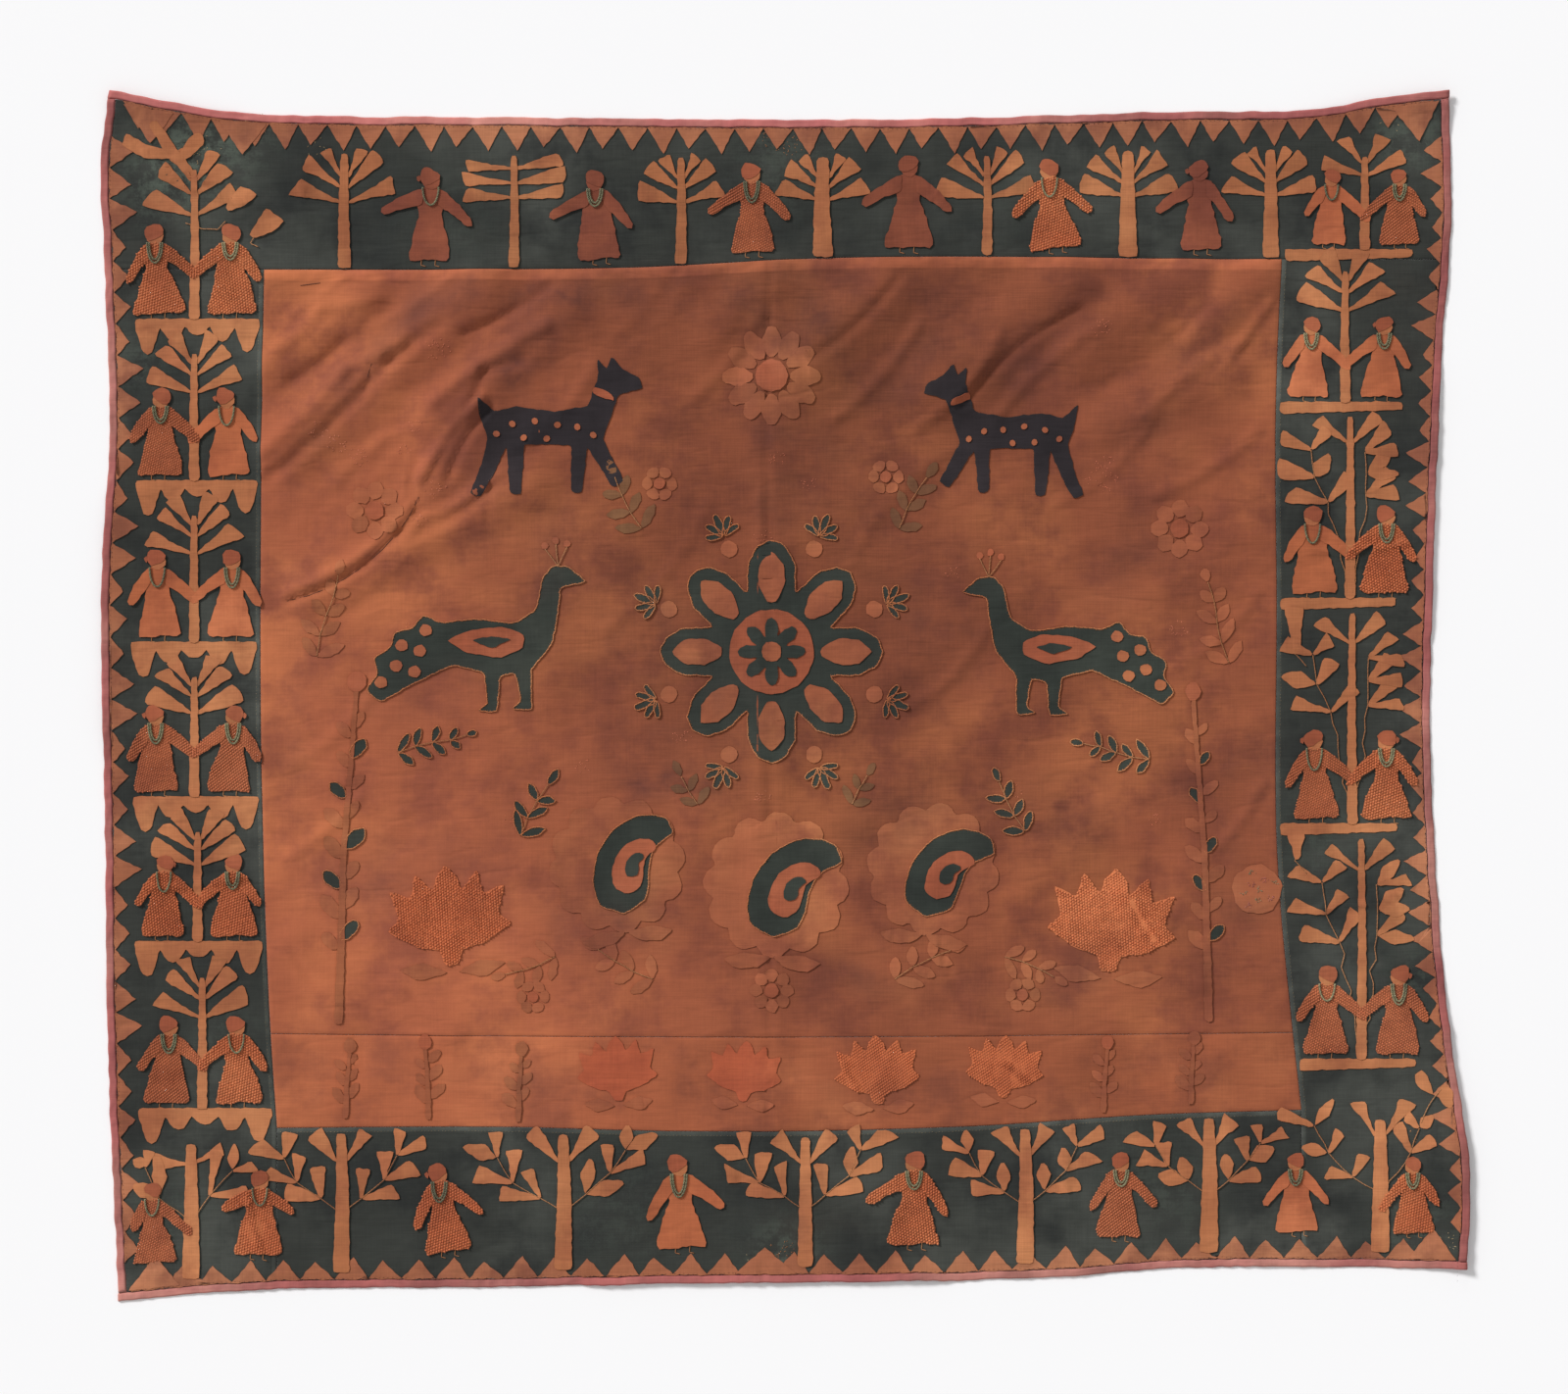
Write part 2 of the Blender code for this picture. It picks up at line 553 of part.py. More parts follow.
def sawtooth_outline(side, start, end, pitch, depth):
    """A narrow strip with uneven teeth that point into the cloth."""
    count = round((end - start) / pitch)
    step = (end - start) / count
    base = BINDING_WIDTH + GAP
    upright = side in ("left", "right")
    outline = [side_point(side, start, base)]
    for i in range(count):
        wave = TOOTH_UNEVENNESS * math.sin(2.4 * i + len(side))
        valley = start + i * step
        tip = valley + step * (0.5 + 0.6 * wave)
        reach = SHORT_TOOTH[side] if upright and beside_figures(side, tip) else depth
        if i:
            outline.append(side_point(side, valley, base + TOOTH_BASE))
        outline.append(side_point(side, tip, base + reach * (1 + wave)))
    outline.append(side_point(side, end, base))
    outline += [side_point(side, place, base) for place in stations(end, start)]
    return outline


def build_grounds():
    """Field, field strip, borders and binding: the cloths that lie edge to edge."""
    seam = GAP / 2
    inner = BINDING_WIDTH + GAP
    above, below = shifted(BOTTOM, inner), shifted(TOP, -inner)
    inside_left, inside_right = shifted(LEFT, inner), shifted(RIGHT, -inner)
    grounds = (
        ("field_panel", "field", shifted(PIECING, seam), shifted(FIELD_TOP, -seam),
         shifted(FIELD_LEFT, seam), shifted(FIELD_RIGHT, -seam)),
        ("field_strip", "strip", shifted(FIELD_BOTTOM, seam), shifted(PIECING, -seam),
         shifted(FIELD_LEFT, seam), shifted(FIELD_RIGHT, -seam)),
        ("border_top", "border", shifted(FIELD_TOP, seam), below, inside_left, inside_right),
        ("border_left", "border", above, shifted(FIELD_TOP, -seam),
         inside_left, shifted(FIELD_LEFT, -seam)),
        ("border_right", "border", above, shifted(FIELD_TOP, -seam),
         shifted(FIELD_RIGHT, seam), inside_right),
        ("border_bottom", "border", above, shifted(FIELD_BOTTOM, -seam), shifted(FIELD_LEFT, seam),
         shifted(FIELD_RIGHT, -seam)),
    )
    for name, finish, low, high, left, right in grounds:
        add_cloth(name, [area_between(low, high, left, right)], finish, 0.0, SHEET)
    bindings = (
        ("binding_top", shifted(TOP, -BINDING_WIDTH), TOP, LEFT, RIGHT),
        ("binding_bottom", BOTTOM, shifted(BOTTOM, BINDING_WIDTH), LEFT, RIGHT),
        ("binding_left", above, below, LEFT, shifted(LEFT, BINDING_WIDTH)),
        ("binding_right", above, below, shifted(RIGHT, -BINDING_WIDTH), RIGHT),
    )
    for name, low, high, left, right in bindings:
        add_cloth(name, [area_between(low, high, left, right)], "binding", 0.0, BINDING_HEIGHT)


def build_sawteeth():
    for side, start, end, pitch, depth in SAWTEETH:
        add_cloth(f"sawtooth_{side}", [sawtooth_outline(side, start, end, pitch, depth)], "tan")


def bay_outlines(trunk_x, ground, tree_height, figure_height, kind, offsets=BAY_OFFSETS, foot=FOOT_GAP):
    """A tree and the figures beside it, whose inner hands overlap the trunk."""
    tree = tree_outline(tree_height, BAY_TRUNK, LEAVES[kind], right_leaves=LEAVES.get(kind + "_right"))
    outlines = [placed(tree, trunk_x, ground)]
    for offset in offsets:
        reach = (abs(offset) - 0.12 * figure_height) / (figure_height * math.cos(math.radians(INNER_ARM)))
        figure = figure_outline(figure_height, OUTER_ARM, INNER_ARM, OUTER_REACH, reach)
        outlines.append(placed(figure, trunk_x + offset, ground + foot, facing=1 if offset < 0 else -1))
    return outlines


def build_left_bays():
    for i, (ground, trunk_x, tree_height, figure_height, kind) in enumerate(LEFT_BAYS, 1):
        left, right = LEFT(ground) + BAND_ROOM, FIELD_LEFT(ground) - SEAM_ROOM
        band = band_outline(left, right, ground, LOBE_DEPTHS)
        outlines = [band] + bay_outlines(trunk_x, ground - 0.001, tree_height, figure_height, kind)
        add_cloth(f"bay_left_{i}", outlines, "tan")


def build_right_bays():
    for i, (ground, trunk_x, tree_height, figure_height, kind) in enumerate(RIGHT_BAYS, 1):
        left, right = FIELD_RIGHT(ground) + SEAM_ROOM, RIGHT(ground) - STRIP_ROOM
        foot_left, foot_right = ground - 1.2 * STRIP_DEPTH, ground - 0.8 * STRIP_DEPTH
        strip = [(left, foot_left), (right, foot_right), (right, ground), (left, ground)]
        outlines = [strip] + bay_outlines(trunk_x, ground - 0.001, tree_height, figure_height, kind)
        add_cloth(f"bay_right_{i}", outlines, "tan")


def build_row(name, trees, figures, ground_line, head_line, foot):
    """Trees and single figures that stand along the top or the bottom border."""
    for i, (x, trunk, kind, spread) in enumerate(trees, 1):
        outline = tree_outline(head_line(x) - ground_line(x), trunk, LEAVES[kind], spread)
        add_cloth(f"{name}_tree_{i}", [placed(outline, x, ground_line(x))], "tan")
    for i, (x, height, left_arm, right_arm) in enumerate(figures, 1):
        outline = figure_outline(height, left_arm, right_arm)
        add_cloth(f"{name}_figure_{i}", [placed(outline, x, ground_line(x) + foot)], "rust")


def build_corners(ground_line, foot):
    for name, x, trunk, kind, height, figures in BOTTOM_CORNERS:
        tree = tree_outline(height, trunk, LEAVES[kind], right_leaves=LEAVES[kind + "_right"])
        outlines = [placed(tree, x, ground_line(x))]
        for offset, figure_height, outer, inner, outer_reach, inner_reach in figures:
            figure = figure_outline(figure_height, outer, inner, outer_reach, inner_reach)
            facing = 1 if offset < 0 else -1
            outlines.append(placed(figure, x + offset, ground_line(x + offset) + foot, facing=facing))
        add_cloth(name, outlines, "tan")


def build_motifs():
    for name, drawing, x, y, scale, facing, turn, finish in MOTIFS:
        outline = placed(motif_outline(drawing), x, y, scale, facing, turn)
        thickness = RAISED_PATCH if finish == "knit" else PATCH
        add_cloth(name, [outline], finish, PATCH_LEVEL, thickness)


clear_scene()
build_grounds()
build_sawteeth()
build_left_bays()
build_right_bays()
top_line, top_head = shifted(FIELD_TOP, TOP_GROUND), shifted(TOP, -TOP_ROOM)
bottom_line, bottom_head = shifted(BOTTOM, BOTTOM_GROUND), shifted(FIELD_BOTTOM, -BOTTOM_ROOM)
build_row("top", TOP_TREES, TOP_FIGURES, top_line, top_head, TOP_FOOT)
build_row("bottom", BOTTOM_TREES, BOTTOM_FIGURES, bottom_line, bottom_head, BOTTOM_FOOT)
build_corners(bottom_line, BOTTOM_FOOT)
build_motifs()
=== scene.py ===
import math
import random

import bmesh
import bpy
import numpy as np
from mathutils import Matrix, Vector


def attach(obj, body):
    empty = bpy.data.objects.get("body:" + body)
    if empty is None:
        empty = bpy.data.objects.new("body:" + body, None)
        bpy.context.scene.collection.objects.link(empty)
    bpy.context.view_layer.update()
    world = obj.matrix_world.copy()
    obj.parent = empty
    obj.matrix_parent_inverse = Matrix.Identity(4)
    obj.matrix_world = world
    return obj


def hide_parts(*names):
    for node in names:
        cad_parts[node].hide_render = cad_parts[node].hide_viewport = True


# Appliqué shrine cloth, laid flat. Metres, with the cloth's upper edge towards +Y.
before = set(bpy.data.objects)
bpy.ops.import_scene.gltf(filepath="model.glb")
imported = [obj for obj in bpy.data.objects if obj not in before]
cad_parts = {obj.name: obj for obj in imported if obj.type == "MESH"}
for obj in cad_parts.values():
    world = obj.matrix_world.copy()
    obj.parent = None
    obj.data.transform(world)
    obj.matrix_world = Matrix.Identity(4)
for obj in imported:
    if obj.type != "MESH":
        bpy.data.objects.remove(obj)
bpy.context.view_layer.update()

# Edges and seams, each a line through a few points. top, bottom, fieldTop, fieldBottom and piecing
# hold x, y and the upright ones y, x.
clothLines = {
    "top": (
        (-0.602, 0.5405), (-0.553, 0.531), (-0.494, 0.5215), (-0.439, 0.519), (-0.263, 0.517),
        (-0.011, 0.515), (0.087, 0.515), (0.349, 0.522), (0.49, 0.526), (0.54, 0.535), (0.592, 0.5405),
    ),
    "bottom": (
        (-0.595, -0.5405), (-0.517, -0.532), (-0.454, -0.529), (-0.263, -0.527), (-0.088, -0.5235),
        (0.11, -0.5215), (0.244, -0.518), (0.332, -0.511), (0.485, -0.509), (0.608, -0.511),
    ),
    "left": (
        (-0.5405, -0.595), (-0.44, -0.5995), (-0.329, -0.604), (-0.06, -0.608), (0.017, -0.6095),
        (0.108, -0.6095), (0.245, -0.603), (0.32, -0.605), (0.4, -0.608), (0.485, -0.6105), (0.5405, -0.602),
    ),
    "right": (
        (-0.511, 0.608), (-0.425, 0.6105), (-0.382, 0.606), (-0.334, 0.598), (-0.25, 0.588), (-0.166, 0.582),
        (-0.078, 0.577), (0.132, 0.579), (0.3, 0.586), (0.44, 0.595), (0.5405, 0.592),
    ),
    "fieldTop": ((-0.463, 0.381), (-0.263, 0.381), (-0.13, 0.383), (0.004, 0.39), (0.44, 0.39)),
    "fieldBottom": (
        (-0.453, -0.385), (-0.263, -0.384), (-0.088, -0.388), (0.166, -0.3835), (0.332, -0.373),
        (0.461, -0.369),
    ),
    "fieldLeft": ((-0.385, -0.4535), (-0.303, -0.459), (-0.078, -0.467), (0.245, -0.467), (0.381, -0.465)),
    "fieldRight": (
        (-0.367, 0.461), (-0.281, 0.4515), (-0.166, 0.441), (0.1, 0.439), (0.245, 0.438), (0.39, 0.443),
    ),
    "piecing": ((-0.459, -0.301), (-0.263, -0.303), (0.0, -0.304), (0.455, -0.3)),
}

# Broad folds. Columns: x and y of both ends, half width, height.
folds = (
    (-0.447, 0.224, -0.272, 0.368, 0.045, 0.009), (-0.456, 0.298, -0.377, 0.355, 0.035, 0.0055),
    (-0.307, 0.25, -0.198, 0.342, 0.042, 0.0085), (-0.333, 0.158, -0.281, 0.25, 0.034, 0.0055),
    (-0.425, 0.092, -0.228, 0.189, 0.034, 0.006), (-0.058, 0.329, -0.018, 0.364, 0.035, 0.005),
    (-0.005, 0.28, 0.087, 0.359, 0.045, 0.007), (0.135, 0.272, 0.249, 0.368, 0.045, 0.008),
    (0.262, 0.307, 0.358, 0.372, 0.04, 0.0065), (0.371, 0.333, 0.428, 0.381, 0.035, 0.005),
    (0.288, 0.245, 0.393, 0.289, 0.035, 0.0045), (-0.012, 0.48, -0.016, -0.48, 0.033, 0.0022),
    (-0.438, -0.227, -0.395, -0.28, 0.033, 0.0032), (-0.338, -0.258, -0.303, -0.297, 0.033, 0.0032),
    (0.069, -0.17, 0.135, -0.258, 0.038, 0.004), (0.139, -0.223, 0.174, -0.293, 0.033, 0.0036),
    (0.31, -0.183, 0.362, -0.249, 0.033, 0.004), (-0.64, 0.56, -0.52, 0.56, 0.07, 0.007),
    (0.5, 0.56, 0.64, 0.56, 0.07, 0.006), (0.625, -0.3, 0.625, -0.52, 0.065, 0.006),
    (0.605, 0.08, 0.605, 0.26, 0.055, 0.0045), (-0.62, -0.02, -0.62, 0.15, 0.05, 0.004),
    (-0.15, -0.545, 0.12, -0.54, 0.05, 0.0045),
)

# Main creases. Columns: x and y of both ends, bow to the side, half width, height or depth.
creases = (
    (-0.439, 0.087, -0.326, 0.164, 0.01, 0.006, -0.0016), (-0.442, 0.094, -0.332, 0.172, 0.01, 0.008, 0.002),
    (-0.326, 0.176, -0.344, 0.148, 0.0, 0.0042, -0.0012),
    (-0.344, 0.148, -0.374, 0.1175, 0.001, 0.0042, -0.0012),
    (-0.374, 0.1175, -0.404, 0.098, 0.001, 0.0042, -0.0012),
    (-0.404, 0.098, -0.465, 0.077, 0.001, 0.0042, -0.001),
    (-0.324, 0.196, -0.272, 0.264, -0.004, 0.008, 0.0036),
    (-0.3, 0.196, -0.264, 0.256, -0.004, 0.007, -0.0024),
    (-0.304, 0.228, -0.268, 0.29, 0.004, 0.008, -0.0022), (-0.268, 0.29, -0.234, 0.3, 0.0, 0.009, -0.0016),
    (-0.312, 0.264, -0.214, 0.33, -0.004, 0.013, 0.0026),
    (-0.284, 0.325, -0.212, 0.365, 0.004, 0.008, -0.0022),
    (-0.459, 0.196, -0.352, 0.3, 0.004, 0.012, -0.0026), (-0.352, 0.3, -0.308, 0.331, 0.0, 0.012, -0.0024),
    (-0.465, 0.22, -0.394, 0.29, 0.003, 0.014, 0.0024), (-0.394, 0.29, -0.344, 0.316, 0.0, 0.013, 0.002),
    (-0.439, 0.282, -0.394, 0.316, 0.002, 0.01, -0.0018), (-0.453, 0.31, -0.414, 0.347, 0.003, 0.012, 0.0016),
    (-0.414, 0.347, -0.364, 0.355, 0.002, 0.012, 0.0014), (-0.368, 0.296, -0.378, 0.266, 0.0, 0.0042, -0.001),
    (-0.328, 0.212, -0.328, 0.166, 0.006, 0.0055, -0.0018),
    (-0.326, 0.158, -0.256, 0.198, 0.004, 0.008, 0.002),
    (-0.324, 0.146, -0.262, 0.186, 0.004, 0.009, -0.0016), (-0.262, 0.19, -0.264, 0.16, 0.001, 0.004, -0.001),
    (-0.433, 0.367, -0.368, 0.372, 0.001, 0.0036, -0.0009),
    (-0.428, 0.36, -0.372, 0.362, 0.001, 0.0034, 0.0007), (-0.4, 0.19, -0.34, 0.236, -0.006, 0.012, 0.0014),
    (-0.24, 0.224, -0.17, 0.296, 0.008, 0.012, 0.0014), (-0.146, 0.316, -0.1, 0.372, 0.006, 0.01, -0.0014),
    (-0.08, 0.268, -0.024, 0.34, 0.006, 0.012, 0.0014), (-0.37, 0.33, -0.3, 0.372, 0.004, 0.006, 0.0012),
    (-0.44, 0.34, -0.395, 0.372, 0.0, 0.006, 0.0012), (-0.013, 0.385, -0.012, 0.06, 0.003, 0.0046, -0.0014),
    (-0.012, 0.06, -0.016, -0.384, -0.002, 0.0046, -0.001),
    (-0.022, 0.18, -0.022, -0.12, 0.002, 0.008, 0.0012), (0.046, 0.25, 0.118, 0.33, 0.006, 0.011, 0.0018),
    (0.02, 0.3, 0.1, 0.372, 0.006, 0.008, -0.002), (0.16, 0.262, 0.262, 0.345, -0.008, 0.008, -0.002),
    (0.19, 0.25, 0.28, 0.33, -0.006, 0.011, 0.0018), (0.118, 0.24, 0.19, 0.32, 0.008, 0.011, 0.0016),
    (0.29, 0.28, 0.372, 0.345, 0.006, 0.008, -0.0018), (0.395, 0.3, 0.432, 0.35, 0.0, 0.008, 0.0018),
    (0.32, 0.25, 0.41, 0.318, -0.006, 0.011, 0.0016), (0.33, 0.18, 0.42, 0.236, 0.006, 0.011, 0.0014),
    (-0.13, -0.03, -0.06, 0.01, 0.006, 0.01, -0.0012), (0.11, -0.01, 0.18, 0.06, 0.008, 0.011, 0.0012),
    (-0.44, -0.14, -0.38, -0.09, 0.004, 0.01, 0.0012), (-0.24, -0.09, -0.19, -0.03, 0.004, 0.01, -0.0012),
    (0.38, -0.14, 0.425, -0.08, 0.004, 0.01, 0.0012), (-0.16, -0.34, -0.11, -0.37, 0.002, 0.006, -0.001),
    (0.05, -0.32, 0.08, -0.37, 0.003, 0.007, 0.001), (0.2, -0.33, 0.25, -0.36, 0.003, 0.007, 0.001),
    (0.24, 0.17, 0.33, 0.25, 0.01, 0.009, 0.001), (0.06, 0.12, 0.15, 0.22, -0.012, 0.012, 0.0009),
    (-0.16, 0.06, -0.07, 0.17, 0.01, 0.012, 0.0009), (-0.44, -0.06, -0.36, 0.02, 0.01, 0.012, 0.001),
    (-0.317, -0.183, -0.32, -0.228, 0.0, 0.005, -0.001),
    (-0.439, -0.227, -0.394, -0.28, 0.005, 0.005, -0.0012),
    (-0.337, -0.258, -0.302, -0.298, 0.004, 0.005, -0.0012),
    (-0.385, -0.328, -0.35, -0.353, 0.002, 0.0045, 0.001), (-0.3, -0.33, -0.255, -0.36, 0.002, 0.0045, 0.001),
    (0.07, -0.172, 0.134, -0.258, 0.008, 0.006, -0.0012),
    (0.14, -0.224, 0.172, -0.292, 0.004, 0.005, -0.0012),
    (0.31, -0.184, 0.362, -0.248, 0.006, 0.006, -0.0012), (0.33, 0.02, 0.42, 0.09, 0.01, 0.011, 0.001),
    (0.2, -0.02, 0.262, -0.08, 0.006, 0.008, -0.0009), (-0.59, 0.52, -0.52, 0.46, 0.006, 0.009, 0.0018),
    (-0.56, 0.47, -0.47, 0.44, 0.006, 0.007, 0.0014), (-0.43, 0.47, -0.42, 0.4, 0.004, 0.007, 0.0012),
    (0.47, 0.5, 0.56, 0.45, 0.006, 0.008, 0.0014), (0.47, 0.13, 0.57, 0.14, 0.003, 0.006, 0.0012),
    (0.48, -0.19, 0.56, -0.17, 0.004, 0.006, 0.0012), (-0.6, -0.17, -0.48, -0.16, 0.004, 0.007, 0.0012),
    (-0.48, -0.44, -0.46, -0.51, 0.003, 0.006, 0.0012), (-0.04, -0.43, -0.02, -0.515, 0.004, 0.007, -0.0012),
    (0.25, -0.4, 0.262, -0.5, 0.004, 0.007, 0.0012), (-0.02, 0.505, 0.01, 0.44, 0.006, 0.008, 0.0016),
    (0.13, 0.5, 0.15, 0.41, 0.004, 0.008, 0.0012),
)

# Old stains. Columns: x, y, half length, half width, heading in degrees, strength.
stains = (
    (-0.15, 0.362, 0.16, 0.02, 2, 0.75), (-0.33, 0.34, 0.06, 0.018, 35, 0.55),
    (0.03, 0.34, 0.04, 0.04, 0, 0.7), (-0.392, 0.262, 0.055, 0.018, 48, 0.6),
    (-0.24, 0.292, 0.07, 0.024, 52, 0.75), (-0.268, 0.17, 0.04, 0.022, 70, 0.6),
    (-0.205, 0.11, 0.05, 0.028, 80, 0.6), (-0.11, 0.06, 0.07, 0.035, 20, 0.5),
    (-0.06, -0.02, 0.08, 0.04, 0, 0.55), (0.02, 0.19, 0.045, 0.06, 0, 0.45), (0.11, 0.3, 0.07, 0.03, 50, 0.5),
    (0.215, 0.3, 0.06, 0.026, 52, 0.55), (0.33, 0.265, 0.06, 0.028, 48, 0.6),
    (0.405, 0.345, 0.04, 0.022, 45, 0.55), (0.12, 0.06, 0.06, 0.07, 0, 0.45),
    (-0.11, -0.075, 0.06, 0.022, 0, 0.9), (0.09, -0.11, 0.05, 0.03, 30, 0.55),
    (0.23, -0.11, 0.05, 0.035, 0, 0.6), (0.385, -0.07, 0.045, 0.03, 20, 0.6),
    (-0.3, 0.01, 0.07, 0.024, 12, 0.45), (-0.35, -0.155, 0.06, 0.03, 8, 0.6),
    (-0.15, -0.2, 0.08, 0.03, 0, 0.6), (0.06, -0.25, 0.07, 0.03, 0, 0.5),
    (0.26, -0.25, 0.06, 0.026, 30, 0.45), (0.4, -0.18, 0.03, 0.06, 0, 0.45),
    (-0.24, -0.35, 0.06, 0.016, 0, 0.4), (0.12, -0.35, 0.08, 0.016, 0, 0.45),
    (-0.44, 0.0, 0.02, 0.12, 0, 0.25), (0.31, 0.12, 0.05, 0.03, 60, 0.45), (-0.02, 0.25, 0.02, 0.11, 0, 0.45),
    (-0.54, 0.42, 0.05, 0.06, 0, 0.25), (0.56, 0.33, 0.03, 0.07, 0, 0.45), (0.02, -0.47, 0.04, 0.03, 0, 0.6),
)

# Where the dark borders are worn and paler blue-green cloth shows. Columns: x, y, reach, strength.
wornPlaces = (
    (-0.545, 0.47, 0.045, 0.9), (-0.5, 0.505, 0.04, 0.7), (-0.575, 0.3, 0.03, 0.4), (0.56, 0.505, 0.035, 0.6),
    (0.0, 0.48, 0.05, 0.35), (-0.3, 0.43, 0.05, 0.2), (0.2, 0.45, 0.05, 0.18), (0.48, -0.12, 0.04, 0.35),
    (0.56, -0.25, 0.03, 0.35), (-0.5, -0.3, 0.03, 0.3), (-0.15, -0.45, 0.06, 0.22), (0.33, -0.44, 0.06, 0.25),
    (0.0, -0.5, 0.035, 0.55), (0.56, -0.48, 0.04, 0.45), (-0.56, -0.47, 0.04, 0.4),
)

# Columns: screen colours of the cloth, where it is paler, where it is darker and where it is soiled, then how
# strongly single threads show and how uneven the dye is.
finishes = {
    "field": ((147, 80, 53), (166, 95, 60), (123, 65, 48), (88, 49, 44), 0.46, 0.85),
    "strip": ((152, 83, 54), (170, 98, 63), (127, 69, 49), (94, 53, 45), 0.46, 0.85),
    "border": ((50, 52, 48), (68, 70, 65), (35, 37, 36), (68, 52, 43), 0.6, 0.85),
    "binding": ((170, 96, 92), (192, 130, 118), (150, 80, 82), (122, 70, 66), 0.4, 0.6),
    "tree": ((168, 103, 66), (188, 122, 80), (146, 84, 56), (104, 62, 50), 0.55, 0.75),
    "tooth": ((158, 95, 66), (182, 118, 84), (128, 74, 56), (98, 60, 52), 0.5, 0.85),
    "tunic": ((172, 95, 60), (192, 112, 74), (144, 74, 49), (100, 56, 46), 0.48, 0.65),
    "brownTunic": ((127, 67, 47), (154, 86, 60), (106, 54, 42), (82, 46, 42), 0.55, 0.75),
    "turban": ((156, 82, 55), (174, 98, 67), (126, 64, 45), (96, 58, 50), 0.6, 0.55),
    "green": ((46, 51, 46), (60, 65, 58), (35, 39, 36), (54, 46, 42), 0.6, 0.5),
    "redCloth": ((166, 82, 53), (182, 98, 64), (142, 66, 46), (104, 54, 46), 0.5, 0.6),
    "olive": ((112, 72, 48), (130, 90, 59), (90, 56, 41), (86, 58, 48), 0.6, 0.6),
    "black": ((40, 34, 37), (54, 46, 49), (30, 25, 28), (52, 40, 38), 0.6, 0.5),
    "tonal": ((154, 86, 57), (174, 105, 68), (126, 67, 49), (90, 52, 47), 0.46, 0.75),
    "knit": ((196, 108, 67), (210, 126, 81), (168, 87, 55), (128, 68, 49), 0.25, 0.6),
    "rustCord": ((176, 106, 66), (200, 134, 88), (134, 74, 48), (100, 58, 46), 0.5, 0.6),
    "necklace": ((122, 120, 92), (152, 146, 112), (84, 86, 70), (84, 76, 62), 0.6, 0.7),
    "darkThread": ((66, 42, 38), (84, 54, 46), (48, 32, 32), (52, 34, 34), 0.3, 0.4),
    "tanThread": ((158, 104, 66), (182, 130, 88), (126, 76, 50), (104, 66, 50), 0.4, 0.5),
    "paleThread": ((164, 140, 104), (190, 170, 134), (122, 100, 76), (112, 84, 66), 0.3, 0.4),
    "salmonThread": ((196, 112, 84), (216, 138, 108), (166, 86, 64), (130, 70, 60), 0.3, 0.4),
}


def addNode(tree, kind, links=(), **settings):
    made = tree.nodes.new(kind)
    for key, value in settings.items():
        if key in made.inputs:
            made.inputs[key].default_value = value
        else:
            setattr(made, key, value)
    for key, source in links:
        tree.links.new(source, made.inputs[key])
    return made


def plug(tree, sockets, values):
    for socket, value in zip(sockets, values):
        if isinstance(value, bpy.types.NodeSocket):
            tree.links.new(value, socket)
        else:
            socket.default_value = value


def reckon(tree, operation, *values, clamp=False):
    made = addNode(tree, "ShaderNodeMath", operation=operation, use_clamp=clamp)
    plug(tree, made.inputs, values)
    return made.outputs[0]


def blendColours(tree, share, first, second, kind="MIX"):
    made = addNode(tree, "ShaderNodeMix", data_type="RGBA", blend_type=kind)
    plug(tree, (made.inputs[0], made.inputs[6], made.inputs[7]), (share, first, second))
    return made.outputs[2]


def fromScreen(colour):
    shares = (channel / 255 for channel in colour)
    return (*(s / 12.92 if s <= 0.04045 else ((s + 0.055) / 1.055) ** 2.4 for s in shares), 1.0)


# Scales are per metre, depths in metres. fade, blotch, soil and wear: scale, detail and roughness of a
# noise, and the range that is spread out. crumples: heading in degrees, scale, depth.
clothDetail = {
    "threads": 880, "threadLength": 30, "thread": (1.0, 3.0, 0.6), "warp": 0.62, "slubBump": 0.7,
    "slubDepth": 0.00007, "weave": {"Scale": 45, "Distortion": 1.2, "Detail": 1.0}, "weaveBump": 0.5,
    "weaveDepth": 0.00008, "crumples": ((48, (11, 34, 1), 0.00055), (104, (13, 42, 1), 0.0003)),
    "crumple": (1.0, 2.0, 0.5), "crumpleBump": 0.5, "crumpleEdge": 0.09, "fade": (5.0, 4.0, 0.6, 0.44, 0.64),
    "blotch": (15.0, 5.0, 0.64, 0.42, 0.68), "soil": (20.0, 4.0, 0.62, 0.24, 0.7),
    "wear": (60.0, 6.0, 0.75, 0.42, 0.6), "wornColour": (84, 92, 82),
    "shader": {"Roughness": 0.93, "Specular IOR Level": 0.22, "Sheen Weight": 0.06, "Sheen Roughness": 0.6},
}


